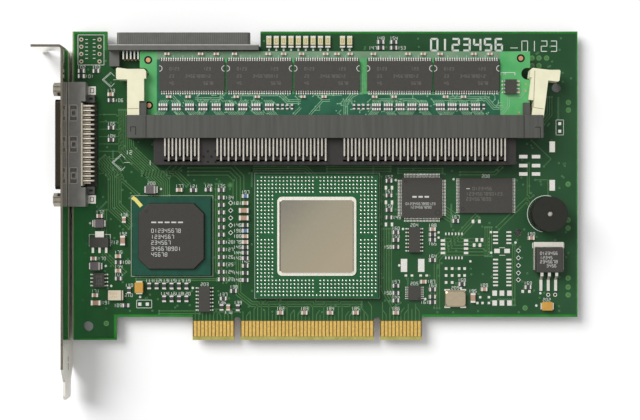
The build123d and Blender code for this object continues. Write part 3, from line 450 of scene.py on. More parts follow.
def board_resist(paint, cloud):
    """Green resist, paler to the right, with a bright rim round the copper, and painted light beside the
    bracket where the bracket's shadow falls.
    """
    # Painted light: the resist beside the bracket is lightened against the bracket's shadow.
    beside = paint.cloudy(cloud, (0.012, 0.145, 0.032), (0.018, 0.190, 0.044))
    left = paint.cloudy(cloud, (0.004, 0.050, 0.008), (0.007, 0.072, 0.013))
    right = paint.cloudy(cloud, (0.013, 0.066, 0.022), (0.024, 0.084, 0.032))
    base = paint.mix(paint.axis(0, 15, 150), left, right)
    base = paint.mix(paint.least(paint.axis(0, 12, 2), paint.axis(1, 90, 82)), base, beside)
    sides = paint.least(paint.axis(0, 0.7, 1.0), paint.axis(0, LENGTH - 0.3, LENGTH - 0.5))
    root = paint.least(paint.axis(0, TONGUE[0] - 0.1, TONGUE[0]), paint.axis(0, TONGUE[1] + 0.1, TONGUE[1]))
    leg = paint.least(paint.axis(0, 14.6, 14.2), paint.axis(1, 0.5, 0.8))
    lower = paint.most(paint.axis(1, BAY + 0.6, BAY + 1.1), root, leg)
    corner = paint.most(paint.axis(0, 10.9, 10.6), paint.axis(0, 11.8, 12.0), paint.axis(1, 100.5, 100.0))
    inside = paint.least(sides, lower, corner, paint.axis(1, HEIGHT - 0.5, HEIGHT - 0.8))
    rim = paint.cloudy(paint.noise(4.0), (0.012, 0.170, 0.018), (0.022, 0.230, 0.026))
    # A pale strip along the left edge: bare laminate, lightened as a painted reflection of the board edge in
    # the bracket.
    edge_strip_painted_reflection = paint.cloudy(paint.noise(0.8), (0.42, 0.37, 0.29), (0.55, 0.50, 0.40))
    return paint.mix(paint.axis(0, 0.25, 0.35), edge_strip_painted_reflection, paint.mix(inside, rim, base))


def board_mask():
    """Resist on both faces, bare laminate between and below the fingers, and pale cut edges."""
    paint = Paint("board mask", 0.36, gloss=0.2)
    cloud = paint.noise(16.0, 2.0)
    fleck = paint.noise(2.0)
    tip = paint.cloudy(fleck, (0.33, 0.30, 0.08), (0.46, 0.42, 0.13))
    gaps = paint.cloudy(fleck, (0.09, 0.06, 0.02), (0.15, 0.11, 0.04))
    laminate = paint.mix(paint.axis(1, 1.1, 1.3), tip, gaps)
    tongue = paint.least(paint.axis(0, TONGUE[0] - 0.3, TONGUE[0] - 0.1), paint.axis(1, 6.9, 6.7))
    faces = paint.mix(tongue, board_resist(paint, cloud), laminate)
    wall = paint.least(paint.axis(2, -0.7, -0.75), paint.axis(2, UNDER + 0.03, UNDER + 0.08))
    raw = paint.cloudy(paint.noise(0.5, 2.0, (1, 1, 4)), (0.36, 0.30, 0.17), (0.48, 0.41, 0.26))
    paint.colour(paint.mix(wall, faces, raw))
    paint.weave()
    paint.roughness(cloud, 0.32, 0.45)
    return paint.material


def bracket_steel():
    """Bright rolled sheet with dull cut edges and a rougher tail."""
    top = box_of("mounting_bracket")[1].z
    paint = Paint("bracket steel", 0.07, 1.0)
    streak = paint.noise(0.25, 3.0, (1, 0.06, 1))
    sheet = paint.cloudy(streak, (0.82, 0.80, 0.73), (0.94, 0.92, 0.85))
    edge = paint.cloudy(streak, (0.16, 0.14, 0.11), (0.24, 0.21, 0.165))
    paint.colour(paint.mix(paint.axis(2, top - 0.14, top - 0.09), sheet, edge))
    worn = paint.math("MULTIPLY", paint.axis(1, 0.0, -1.5), 0.4)
    paint.roughness(paint.math("ADD", paint.math("MULTIPLY", streak, 0.1), worn), 0.03, 1.03)
    paint.bump(streak, 0.0006, 0.3)
    return paint.material


def module_mask():
    """The module's resist: teal below its chips, bright at its ends, pale along its top."""
    paint = Paint("module mask", 0.38, gloss=0.25)
    cloud = paint.noise(6.0, 2.0)
    teal = paint.cloudy(cloud, (0.010, 0.095, 0.048), (0.022, 0.135, 0.070))
    pale = paint.cloudy(cloud, (0.13, 0.24, 0.14), (0.19, 0.30, 0.19))
    bright = paint.cloudy(cloud, (0.070, 0.36, 0.11), (0.115, 0.44, 0.155))
    base = paint.mix(paint.axis(1, 96.3, 96.5), teal, pale)
    ends = paint.most(paint.axis(0, 30.0, 29.7), paint.axis(0, 147.0, 147.3))
    paint.colour(paint.mix(ends, base, bright))
    paint.weave()
    paint.roughness(cloud, 0.32, 0.45)
    return paint.material


def port_leads():
    """Tinned leads painted with light: shade towards the moulding, bands of highlight and shade along them, a
    bright highlight where they bend down, and the lower row shaded.
    """
    paint = Paint("port leads", 0.3, 0.9)
    tips = box_of("external_port_contacts")[1].x
    speck = paint.math("MULTIPLY", paint.noise(0.6), 0.2)
    along = paint.math("ADD", paint.axis(0, 4.4, tips + 0.9), speck)
    # Painted light along the upper row: highlights and shade in bands, lightened against the bracket's
    # shadow.
    bright = paint.ramp(along, [(0.1, (0.44, 0.36, 0.27)), (0.4, (0.86, 0.82, 0.70)),
                                (0.75, (0.66, 0.60, 0.48)), (0.9, (0.36, 0.31, 0.24)),
                                (1.0, (0.95, 0.93, 0.87))])
    # Painted shade: the lower row, which lies under the upper one.
    dull = paint.ramp(along, [(0.1, (0.28, 0.22, 0.16)), (0.8, (0.50, 0.44, 0.34))])
    paint.colour(paint.mix(paint.axis(2, 4.35, 4.9), dull, bright))
    paint.bump(paint.noise(0.12), 0.004)
    return paint.material


def lid_metal():
    """Satin lid: a greyer corner, a tan field and a pressed rim painted bright as a highlight."""
    low, high = box_of("processor_lid")
    paint = Paint("lid metal", 0.4, 0.85)
    streak = paint.noise(0.3, 3.0, (1, 0.25, 1))
    both = paint.math("ADD", paint.axis(0, low.x, high.x), paint.axis(1, high.y, low.y))
    field = paint.ramp(paint.math("MULTIPLY", both, 0.5),
                       [(0.1, (0.23, 0.22, 0.185)), (0.4, (0.375, 0.34, 0.25)), (0.8, (0.46, 0.39, 0.275))])
    worn = paint.cloudy(streak, (0.32, 0.29, 0.22), (0.46, 0.41, 0.31))
    plateau = paint.mix(paint.math("MULTIPLY", streak, 0.35), field, worn)
    # Painted highlight: the rim and sides, one metal with the field, are painted much brighter.
    rim = paint.cloudy(streak, (0.80, 0.77, 0.66), (0.95, 0.93, 0.84))
    paint.colour(paint.mix(paint.axis(2, high.z - 0.3, high.z - 0.2), rim, plateau))
    paint.roughness(streak, 0.34, 0.5)
    paint.bump(streak, 0.003, 0.3)
    return paint.material


LOOKS = {
    "board_laminate": board_mask(),
    "module_laminate": module_mask(),
    "finger_gold": plated("finger gold", (0.78, 0.52, 0.14), 0.32, 0.85, 0.16, 0.8),
    "bracket_steel": bracket_steel(),
    "housing_plastic": moulded("housing plastic", (0.073, 0.073, 0.064), 0.16, 1.0, (1, 0.05, 1)),
    "guide_plastic": plain("guide plastic", (0.027, 0.025, 0.022), 0.5, gloss=0.35),
    "latch_plastic": plain("latch plastic", (0.82, 0.79, 0.57), 0.45, 0.04, 3.0),
    # Painted shade: the shell's colour is darkened to the shade it lies in.
    "shell_metal": brushed("shell metal", (0.040, 0.033, 0.024), 0.3, (0.1, 1, 1)),
    "contact_tin": plated("contact tin", (0.80, 0.78, 0.71), 0.28, 0.9, 0.08, 0.6),
    "jack_nickel": plated("jack nickel", (0.30, 0.275, 0.225), 0.28, 1.0, 0.08, 1.0),
    "chip_epoxy": epoxy("chip epoxy", (0.048, 0.045, 0.037)),
    "substrate_green": plain("package laminate", (0.010, 0.100, 0.030), 0.42, 0.12, 3.0, gloss=0.25),
    "substrate_teal": plain("array laminate", (0.006, 0.070, 0.042), 0.42, 0.14, 3.0, gloss=0.25),
    "lid_metal": lid_metal(),
    "tab_tin": plated("tab tin", (0.80, 0.77, 0.68), 0.32, 0.85, 0.06, 1.2),
    "buzzer_plastic": plain("buzzer plastic", (0.013, 0.013, 0.008), 0.5, 0.14, 2.0, gloss=0.35),
    "lamp_lens": plain("lamp lens", (0.66, 0.61, 0.33), 0.3, 0.08, 0.8, 0.002, coat=0.4),
    "tantalum_orange": plain("orange tantalum", (0.56, 0.30, 0.050), 0.42, 0.08, gloss=0.4),
    "tantalum_dark": plain("dark tantalum", (0.125, 0.105, 0.112), 0.45, 0.14, gloss=0.4),
    "crystal_metal": brushed("crystal can", (0.51, 0.43, 0.30), 0.3, (0.2, 1, 1)),
    "resonator_ceramic": plain("resonator ceramic", (0.64, 0.57, 0.42), 0.5, 0.08, 1.2),
    "ceramic_tan": plain("tan ceramic", (0.42, 0.26, 0.17), 0.42, 0.12, 0.8),
    "resistor_ceramic": plain("resistor ceramic", (0.040, 0.038, 0.042), 0.45, 0.14, 0.6),
    "film_blue": plain("blue film", (0.10, 0.17, 0.33), 0.4, 0.10, 0.8),
}
NODE_LOOKS = {
    # Painted light: the outer port's plastic is made lighter than the inner one against the bracket's shadow.
    "external_port_housing": moulded("outer port plastic", (0.240, 0.236, 0.215), 0.10, 2.5),
    "internal_port_housing": moulded("inner port plastic", (0.116, 0.115, 0.104), 0.12, 2.5),
    "external_port_carrier": plain("lead carrier", (0.84, 0.79, 0.64), 0.5, 0.06),
    "external_port_contacts": port_leads(),
    "memory_socket_contacts": plated("socket leads", (0.64, 0.60, 0.52), 0.28, 0.9, 0.14, 0.8),
    "port_controller_mould": epoxy("array epoxy", (0.036, 0.033, 0.026)),
}
INK = ink("board print", (0.66, 0.69, 0.64), 0.08, 0.3)
FRAME_INK = ink("fine board print", (0.34, 0.40, 0.33), 0.10, 0.3)
YELLOW_INK = ink("yellow mark", (0.76, 0.67, 0.17), 0.06)
BRIGHT_INK = ink("bright chip marking", (0.58, 0.58, 0.55), 0.08)
FAINT_INK = ink("chip marking", (0.15, 0.145, 0.13), 0.10)
# Painted shade for the latch creases.
LATCH_CREASE_SHADE = plain("latch crease", (0.40, 0.36, 0.20), 0.55, 0.10, 0.8, 0.002)
TRACE = resist("covered copper", (0.064, 0.160, 0.052), 0.16, 2.0)
MODULE_TRACE = resist("covered module copper", (0.23, 0.44, 0.26), grain=2.0)
MODULE_BRIGHT = resist("bright module strip", (0.085, 0.36, 0.12), grain=1.0)
SPOT_GREEN = resist("test spot resist", (0.090, 0.235, 0.075))
SPOT_RING = resist("test spot ring", (0.045, 0.150, 0.045))
# Painted shade under the module's chip leads.
LEAD_SHADE_GREEN = plain("shaded resist", (0.006, 0.045, 0.022), 0.5, 0.14, 0.8, 0.003, 0.2)
VIA = plain("covered via", (0.075, 0.20, 0.085), 0.34, 0.12, 0.6, 0.003, 0.25)
SOLDER = plated("bright solder", (0.84, 0.81, 0.76), 0.27, 0.85, 0.10, 0.4, 0.006)
DULL_TIN = plated("dull tinned ring", (0.46, 0.40, 0.31), 0.4, 0.6, 0.3, 0.35, 0.006)
HOLE = plain("open hole", (0.010, 0.012, 0.010), 0.7, 0.10, 0.3, 0.002, 0.2)
COPPER = plated("bare copper", (0.66, 0.36, 0.19), 0.35, 0.85, 0.10, 0.6)
# Painted highlights on moulded port edges.
PORT_EDGE_HIGHLIGHT = plain("port edges", (0.50, 0.48, 0.44), 0.5, 0.12, 0.8, 0.003)
DULL_LINE = shaded("moulding grooves", (0.070, 0.068, 0.062), 0.15, 0.8, 0.003)
GROOVE_BROWN = shaded("shaded groove", (0.085, 0.070, 0.056), 0.2, 0.5, 0.004)
POCKET_FLOOR = shaded("pocket floor", (0.165, 0.145, 0.118), 0.25, 0.4, 0.004)
PALE_FELT = plain("sounder disc", (0.42, 0.40, 0.34), 0.6, 0.12, 0.5)

SOFT_EDGES = {
    0.07: ("ceramic_capacitors",),
    0.1: ("large_capacitors", "film_resistors", "status_lamps"),
    0.12: ("processor_lid", "mounting_bracket", "logic_chip", "flash_chip", "left_buffer_chip",
           "right_buffer_chip", "configuration_chip", "clock_chip", *MEMORY_CHIPS),
    0.15: ("small_regulator_body", "resonator", "left_latch", "right_latch"),
    0.18: ("orange_tantalum_capacitors", "dark_tantalum_capacitors"),
    0.2: ("memory_socket_pin_guide", "port_controller_mould", "regulator_body", "crystal_can"),
    0.25: ("memory_socket_housing", "external_port_housing", "internal_port_housing"),
    0.3: ("buzzer",),
}
WELD_REACH = 0.0005
BEVEL_ANGLE = 40


def soften(obj, width):
    """A small bevel along the sharp edges of a piece."""
    obj.modifiers.new("join", "WELD").merge_threshold = WELD_REACH * MM
    bevel = obj.modifiers.new("edge", "BEVEL")
    bevel.width = width * MM
    bevel.segments = 2
    bevel.limit_method = "ANGLE"
    bevel.angle_limit = math.radians(BEVEL_ANGLE)


def paint_nodes():
    """Every CAD piece takes the look of its slot in the record, and moulded pieces get softer edges."""
    for row in SUBPARTS:
        obj = NODES[row["node"]]
        obj.data.materials.clear()
        obj.data.materials.append(NODE_LOOKS.get(row["node"], LOOKS[row["material_slot"]]))
    for width, nodes in SOFT_EDGES.items():
        for node in nodes:
            soften(NODES[node], width)


# Chip leads

LEADED = ("left_buffer_chip", "right_buffer_chip", "configuration_chip", "clock_chip")
MEMORY_LEADS = 27
MEMORY_PITCH = 0.8
MEMORY_REACH = 1.15


def lead_row(shape, node, ways, count, pitch, width, reach, foot):
    """Bent leads along the named sides of a chip."""
    low, high = box_of(node)
    size = high - low
    middle = (low + high) / 2
    for out in ways:
        for along in evenly(count, pitch):
            x = middle.x + out[0] * size.x / 2 + out[1] * along
            y = middle.y + out[1] * size.y / 2 + out[0] * along
            shape.gull(x, y, low.z, out, width, size.z / 2, reach, foot)


def fine_leads():
    fine = Shape()
    for chip in MEMORY_CHIPS:
        lead_row(fine, chip, UPRIGHT, MEMORY_LEADS, MEMORY_PITCH, 0.42, MEMORY_REACH, 0.6)
    lead_row(fine, "logic_chip", ACROSS + UPRIGHT, 25, 0.5, 0.25, 1.3, 0.65)
    lead_row(fine, "flash_chip", ACROSS, 24, 0.5, 0.25, 1.0, 0.5)
    fine.piece("fine_chip_leads", SOLDER, "contact_tin")


def bent_leads(node, chips):
    """Bent leads in the place of a node's plain ones, each on the chip that it is nearest to."""
    bent = Shape()
    boxes = [box_of(chip) for chip in chips]
    for low, high in lumps(node):
        middle = (low + high) / 2
        chip_low, chip_high = min(boxes, key=lambda box: ((box[0] + box[1]) / 2 - middle).length)
        way = 1 if low.x > (chip_low.x + chip_high.x) / 2 else -1
        x = low.x if way > 0 else high.x
        rise = (chip_high.z - chip_low.z) / 2
        bent.gull(x, middle.y, low.z, (way, 0), high.y - low.y, rise, high.x - low.x, 0.5)
    made = bent.piece("bent_" + node, LOOKS["contact_tin"], "contact_tin")
    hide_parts(node)


# Ends and joints of the small parts

TINNED_SHARES = {"chip_resistors": 0.2, "film_resistors": 0.2, "ceramic_capacitors": 0.22,
                 "large_capacitors": 0.18, "memory_capacitors": 0.24, "memory_resistors": 0.24,
                 "status_lamps": 0.13}
CAP_GROWTH = 0.025
JOINT_REACH = 0.35
JOINT_RISE = 0.55  # of the part's height


def end_caps(shape, node, share):
    """Tinned ends on each small part of a node, with a solder joint that slopes down to the board."""
    for low, high in lumps(node):
        wide, deep = high.x - low.x, high.y - low.y
        flat = wide >= deep
        length, width = (wide, deep) if flat else (deep, wide)
        half = width / 2 + CAP_GROWTH
        middle = (low + high) / 2
        inner = length / 2 * (1 - 2 * share)
        tip, top = length / 2 + CAP_GROWTH, high.z + CAP_GROWTH
        stations = [(inner, top), (tip, top), (tip, low.z + (high.z - low.z) * JOINT_RISE),
                    (length / 2 + JOINT_REACH, low.z), (inner, low.z)]
        n = len(stations)
        faces = band(0, n, n) + [list(range(n)), list(range(n, 2 * n))[::-1]]
        for way in (-1, 1):
            points = []
            for side in (-half, half):
                for along, z in stations:
                    dx, dy = (way * along, side) if flat else (side, way * along)
                    points.append((middle.x + dx, middle.y + dy, z))
            shape.add(points, faces)


def small_part_ends():
    ends = Shape()
    for node, share in TINNED_SHARES.items():
        end_caps(ends, node, share)
    ends.piece("small_part_ends", SOLDER, "contact_tin")
    packs = Shape()
    for low, high in lumps("memory_resistor_packs"):
        for x in shares(low.x, high.x, 4):
            for y0, y1 in ((high.y - 0.55, high.y + 0.35), (low.y - 0.35, low.y + 0.4)):
                packs.slab(x - 0.27, y0, x + 0.27, y1, low.z, high.z + INK_FILM)
    packs.piece("resistor_pack_ends", SOLDER, "contact_tin")


def tantalum_bands():
    """A pale band at the end of each dark capacitor that has a printed dot beside it."""
    bands = Shape()
    for low, high in lumps("dark_tantalum_capacitors"):
        middle = (low + high) / 2
        near = min(DOTS, key=lambda dot: math.hypot(dot[0] - middle.x, dot[1] - middle.y))
        x = high.x - 0.5 if near[0] > middle.x else low.x + 0.5
        bands.slab(x - 0.25, low.y + 0.2, x + 0.25, high.y - 0.2, high.z, high.z + MARK_FILM)
    bands.piece("tantalum_bands", PALE_FELT, "tantalum_dark")


def lamp_detail():
    """A dark band, a tinted die window and bright feet on each status lamp."""
    dark, die, feet = Shape(), Shape(), Shape()
    for low, high in lumps("status_lamps"):
        x = (low.x + high.x) / 2
        top = high.z + MARK_FILM
        dark.slab(low.x - 0.02, low.y + 0.52, high.x + 0.02, low.y + 0.95, low.z, top)
        die.frame_line(x - 0.3, high.y - 2.3, x + 0.3, high.y - 0.9, 0.16, high.z - 0.1, top)
        feet.disc(x, low.y - 0.75, 0.38)
    dark.piece("lamp_bands", LOOKS["tantalum_dark"], "tantalum_dark")
    die.piece("lamp_dies", LOOKS["ceramic_tan"], "ceramic_tan")
    feet.piece("lamp_feet_marks", INK, "board_laminate")


# Bare pads, marks and print on the board

BARE_PADS = (
    ((2.2, 4.5), grid((114.65, 120.6), (25.8,))),
    ((0.9, 0.7), grid((115.3, 117.4, 120.4, 122.5), (22.3,))),
    ((0.8, 1.3), grid((108.4, 110.5), (52.65, 47.6, 39.95))),
    ((1.5, 0.8), grid((128.1, 136.1), (34.4, 33.1, 31.6, 30.1))),
    ((0.45, 0.9), grid((129.1, 130.2, 131.3, 132.5, 133.6, 134.7), (36.7, 28.4))),
    ((0.9, 1.2), [(138.5, 41), (140.7, 41), (139.8, 34.6), (141.6, 34.6), (138.9, 32.8), (140.9, 32.8)]),
    ((0.9, 0.9), grid((129.2, 131.3, 133.7, 135.6), (24.7, 22.3)) + grid((129.2, 131.3), (19.9,))),
    ((0.8, 0.8), [(141, 14.8), (144, 14.8), (140, 12.8), (141.8, 12.8), (144, 12.8)]),
    ((1.7, 0.55), grid((146.3, 150.9),
                       (37.3, 36, 34.7, 33.5, 27.8, 26.4, 25.1, 23.9, 22.6, 21.4, 20.1, 18.9))),
    ((1.9, 1.5), grid((146.8, 150.3), (30.8,))),
    ((1.6, 1.8), grid((146, 148.5, 151.1), (16.2, 12.8))),
    ((2.9, 1.2), grid((155.9, 160.3), (63.4, 60.3, 57.4))),
    ((1.9, 3.7), grid((165.9,), (66.8, 53.5))),
    ((0.9, 1.0), [(155.7, 16.8), (158, 16.8)]),
    ((1.1, 1.1), grid((23.3, 25.9), (12.4,))),
    ((1.0, 1.0), grid((168.5,), (72.2, 74.8))),
    ((0.7, 0.7), [(126.6, 37.2), (126.6, 35.4), (137.6, 27.2)]),
)
TEST_SPOTS = grid((171.4,), (53.9, 41.5, 38.7, 21.4, 18.3, 15.6)) + grid((158.9, 161.3), (97.5, 94.85)) + [
    (163.95, 97.5), (171.5, 82.15), (171.5, 79.5), (156.5, 11.1), (11.7, 5.75)]
DOTS = ((30.6, 52.2), (6.1, 40.4), (11.5, 25.6), (13.4, 18.7), (23.4, 14.9), (41.6, 18), (113, 25.8),
        (111.8, 55.3), (131.8, 55.6), (114.3, 38.4), (160.4, 11.9), (144.7, 37.3), (144.8, 30.2),
        (153.2, 33.7), (122, 14.2), (134.3, 18), (161.8, 16.2))
HEADER_HOLES = grid((3.05, 9.35), (103.9, 101.4, 98.9, 96.3))
RING_HOLES = [(164.5, 15.65), (166.9, 15.65)]
ORIENTATION_MARKS = (grid((154.2,), (30.9, 28.4, 25.8, 23.2, 20.8))
                     + grid((54.7,), (47.4, 44.8, 42.2, 39.7, 37.1)))
OPEN_HOLES = ((5.5, 4.75, 1.7), (167.4, 87.2, 1.6), (154.1, 37.1, 1.2))
TOOLING_MARK = (54.55, 53.56)
PRINTED_FRAMES = ((1.9, 95.1, 10.9, 105.5), (167.2, 70.9, 169.8, 76.1), (22.2, 11.1, 27.4, 13.8))
PRINTED_LINES = (
    (0.17, [(5.8, 32.3), (5.8, 36.5), (7.9, 36.5)]),
    (0.17, [(11, 36.5), (13.1, 36.5), (13.1, 32.3)]),
    (0.2, [(159.1, 33.6), (159.1, 31.8)]),
    (0.2, [(170, 33.6), (170, 31.8)]),
    (0.2, [(159.1, 33.6), (160, 33.6)]),
    (0.18, [(147.6, 31.9), (149.6, 31.9)]),
    (0.18, [(147.6, 29.3), (149.6, 29.3)]),
    (0.25, [(151.4, 101), (154, 101)]),
)
PACKAGE_OUTLINES = ((20.33, 22, 48.58, 49.93), (63, 14.4, 106.2, 57.7))
SPOT_SIDES = 20


def bare_pads():
    """Bare pads with a low hump of solder, tinned rings, and the holes in rings and marks."""
    pads, header, holes = Shape(), Shape(), Shape()
    for (length, width), places in BARE_PADS:
        for x, y in places:
            pads.pad(x, y, length, width, 0.0, 0.04)
            pads.pad(x, y, length * 0.8, width * 0.7, 0.04, 0.1)
    for x, y in RING_HOLES:
        pads.ring(x, y, 0.42, 0.68, 0.0, 0.05)
    for x, y in HEADER_HOLES:
        header.ring(x, y, 0.36, 0.72, 0.0, 0.05)
    for x, y in HEADER_HOLES + RING_HOLES + ORIENTATION_MARKS:
        holes.disc(x, y, 0.34, 0.0, MARK_FILM)
    header.piece("header_rings", DULL_TIN, "contact_tin")
    pads.piece("bare_pads", SOLDER, "contact_tin")
    holes.piece("pad_holes", HOLE, "board_laminate")


def test_spots():
    """Round spots of paler resist with a ring on each, and one mark with the two the other way round."""
    spots, rings = Shape(), Shape()
    for x, y in TEST_SPOTS:
        spots.disc(x, y, 0.92, 0.0, THIN_FILM, SPOT_SIDES)
        rings.ring(x, y, 0.25, 0.48, THIN_FILM, 0.025)
    rings.disc(*TOOLING_MARK, 1.0, 0.0, THIN_FILM, SPOT_SIDES)
    spots.disc(*TOOLING_MARK, 0.5, THIN_FILM, 0.025, SPOT_SIDES)
    spots.piece("test_spots", SPOT_GREEN, "board_laminate")
    rings.piece("test_spot_rings", SPOT_RING, "board_laminate")


def crystal_lands():
    low, high = box_of("crystal_can")
    lands = Shape()
    for x, y in grid((low.x + 0.8, high.x - 0.8), (low.y, high.y)):
        lands.pad(x, y, 2.0, 0.6, 0.0, 0.12)
    lands.piece("crystal_lands", SOLDER, "contact_tin")


def corner_outline(shape, x, y, size):
    """A turned square with a doubled corner, printed where a lever swings."""
    for inset in (0.0, 0.5):
        shape.ribbon([(x + 0.3, y + size - inset), (x - size + inset, y), (x + 0.3, y - size + inset)], 0.15)
    for way in (1, -1):
        shape.ribbon([(x + 0.3, y + way * size), (x + 1.6, y + way * (size - 1.4))], 0.15)
    shape.ribbon([(x + 1.2, y), (x + 3.2, y)], 0.15)


def white_print():
    white = Shape()
    for x, y in DOTS:
        white.disc(x, y, 0.42)
    for x, y in ORIENTATION_MARKS:
        white.ribbon([(x - 0.75, y), (x, y + 0.75), (x + 0.75, y), (x, y - 0.75), (x - 0.75, y)], 0.2)
    for box in PRINTED_FRAMES:
        white.frame_line(*box, 0.17)
    corner_outline(white, 12.9, 90.0, 2.6)
    corner_outline(white, 16.6, 61.4, 2.9)
    white.arc(163.65, 43.6, 6.35, 60, 260, 0.2, steps=30)
    for width, path in PRINTED_LINES:
        white.ribbon(path, width)
    for x, y in grid((4.9, 7.5), (103.9, 102.6, 101.3, 100, 98.7, 97.4)):
        white.ribbon([(x - 0.45, y), (x + 0.45, y)], 0.22)
    white.number("12", 18.6, 64.2, 1.3)
    white.number("1", 26.4, 60.4, 1.7)
    white.number(figures(7), 124.0, 100.1, 4.0, stroke=0.17)
    white.number(figures(4), 155.4, 99.8, 3.6, stroke=0.07)
    white.piece("board_print", INK, "board_laminate")
    outlines = Shape()
    for box in PACKAGE_OUTLINES:
        outlines.frame_line(*box, 0.2)
    outlines.piece("package_outlines", FRAME_INK, "board_laminate")
    yellow = Shape()
    yellow.ribbon([(20.8, 49.3), (21.9, 48.6), (24.0, 46.2)], 1.25, 0.0, 1.12)
    yellow.piece("corner_mark", YELLOW_INK, "board_laminate")


LABELLED = ("chip_resistors", "ceramic_capacitors", "large_capacitors", "film_resistors",
            "dark_tantalum_capacitors", "orange_tantalum_capacitors", "left_buffer_chip", "right_buffer_chip",
            "clock_chip", "configuration_chip", "logic_chip", "flash_chip", "crystal_can", "resonator",
            "regulator_body", "small_regulator_body")
LABEL_HEIGHT = 1.05
FIRST_LABEL = 101
LOW_PART = 0.7  # a solid that starts above this leaves the board free


def overlaps(area, others):
    return any(area[0] < o[2] and area[2] > o[0] and area[1] < o[3] and area[3] > o[1] for o in others)


def area_about(x, y, half_x, half_y):
    return x - half_x, y - half_y, x + half_x, y + half_y


def parts_on_board():
    """Areas of the board that parts, bare pads and marks take up."""
    taken = list(PRINTED_FRAMES)
    for row in SUBPARTS:
        if row["node"] not in ("circuit_board", "mounting_bracket"):
            taken += [(low.x - 0.35, low.y - 0.1, high.x + 0.35, high.y + 0.1)
                      for low, high in lumps(row["node"]) if low.z < LOW_PART]
    for (length, width), places in BARE_PADS:
        taken += [area_about(x, y, length / 2, width / 2) for x, y in places]
    round_marks = [*OPEN_HOLES, (*TOOLING_MARK, 1.0)]
    for places, radius in ((ORIENTATION_MARKS, 0.8), (TEST_SPOTS, 0.9), (DOTS, 0.5)):
        round_marks += [(x, y, radius) for x, y in places]
    return taken + [area_about(x, y, radius, radius) for x, y, radius in round_marks]


def part_numbers():
    """Plain running numbers beside the parts, where the board has room for them."""
    taken = parts_on_board()
    white = Shape()
    solids = [pair for node in LABELLED for pair in lumps(node)]
    for count, (low, high) in enumerate(solids, FIRST_LABEL):
        text = str(count)
        long = LABEL_HEIGHT * (DIGIT_STEP * (len(text) - 1) + DIGIT_WIDTH)
        left = (low.x + high.x) / 2 - long / 2
        foot = (low.y + high.y) / 2 - LABEL_HEIGHT / 2
        choices = ((left, high.y + 0.2), (high.x + 0.5, foot), (low.x - 0.5 - long, foot),
                   (left, low.y - 0.2 - LABEL_HEIGHT))
        for x, y in choices:
            area = (x, y, x + long, y + LABEL_HEIGHT)
            if not overlaps(area, taken):
                white.number(text, x, y, LABEL_HEIGHT)
                taken.append(area)
                break
    white.piece("part_numbers", INK, "board_laminate")


# Copper under the green resist: each bus is a path, a count of tracks and their pitch

TRACK = 0.3
BUSES = (
    ([(18.6, 79.6), (18.6, 66), (31, 54.4), (31, 49)], 8, 0.72),
    ([(9.6, 62.5), (14.6, 57), (14.6, 46), (21, 40)], 7, 0.74),
    ([(15.4, 56.8), (22.8, 50.2)], 2, 0.8),
    ([(18.2, 62.6), (26.2, 55.4)], 1, 0.7),
    ([(32.5, 57), (37.5, 61.5), (37.5, 62.5)], 3, 1.4),
    ([(40, 58.9), (54.6, 58.9), (57.4, 56), (57.4, 47)], 4, 1.25),
    ([(62, 59.3), (80.6, 59.3), (83.5, 56.6)], 3, 0.8),
    ([(88, 59.2), (110, 59.2)], 3, 0.9),
    ([(108.6, 38.5), (108.6, 17.5), (112, 12)], 5, 0.85),
    ([(106.8, 56.5), (106.8, 40)], 1, 0.6),
    ([(128.8, 32.2), (144, 32.2)], 6, 1.15),
    ([(143.8, 39), (143.8, 29)], 4, 0.75),
    ([(157.6, 61), (157.6, 47), (160, 44.6)], 2, 0.7),
    ([(158.8, 69), (165.5, 62.6), (163, 60)], 1, 0.5),
    ([(160, 55.4), (164.4, 55.4), (164.4, 50)], 1, 0.5),
    ([(134, 57.6), (146, 57.6), (148.4, 60)], 2, 1.0),
    ([(147, 38.6), (159, 50.4)], 2, 1.2),
    ([(30, 9.6), (44, 9.6)], 2, 0.9),
    ([(44, 10.2), (58, 10.2)], 2, 1.0),
    ([(57.4, 30), (57.4, 16), (62, 12.4), (100, 12.4)], 3, 0.8),
    ([(152.6, 33), (152.6, 12)], 2, 0.8),
    ([(22, 20.9), (50, 20.9)], 2, 0.6),
    ([(11, 45), (11, 30), (18, 23)], 3, 0.8),
    ([(127.5, 45), (132, 42)], 5, 0.9),
    ([(112.6, 58.5), (128, 58.5)], 3, 0.8),
    ([(140, 43), (126, 28), (126, 11)], 3, 0.9),
    ([(165, 84), (165, 78), (162.5, 75)], 3, 0.8),
    ([(50.6, 54), (50.6, 24), (54, 20.6)], 4, 0.7),
    ([(24, 57.6), (36, 57.6), (40, 53.6)], 3, 0.8),
)
UNDER_BUSES = (
    ([(14, 62), (40, 62), (52, 50), (52, 26), (60, 18), (116, 18)], 9, 0.8),
    ([(62, 57), (70, 57), (84, 43), (131, 43)], 11, 0.75),
    ([(104, 58), (130, 58), (150, 38), (150, 14)], 8, 0.8),
    ([(10, 46), (24, 32), (46, 32)], 7, 0.8),
    ([(20, 88), (100, 88), (108, 80), (168, 80)], 10, 0.8),
    ([(66, 97), (120, 97), (132, 91), (160, 91)], 6, 0.9),
)
LOOSE_VIAS = 300
VIA_RADIUS = 0.36
VIA_BORE = 0.14


def bus(shape, path, count, pitch, z0=0.0, z1=COPPER_FILM):
    """Parallel tracks that follow one path. Gives the places where they end."""
    ends = []
    for offset in evenly(count, pitch):
        track = shifted(path, offset)
        shape.ribbon(track, TRACK, z0, z1)
        ends += [track[0], track[-1]]
    return ends


def via_places():
    """Seeded places for vias that no part covers."""
    taken = parts_on_board()
    places = []
    while len(places) < LOOSE_VIAS:
        x = 2.0 + 170.5 * dice.random()
        y = 9.5 + 95.0 * dice.random()
        cut_out = 11.5 < x < 65.5 and y > 100.5
        if not cut_out and not overlaps(area_about(x, y, 0.4, 0.4), taken):
            places.append((x, y))
    return places


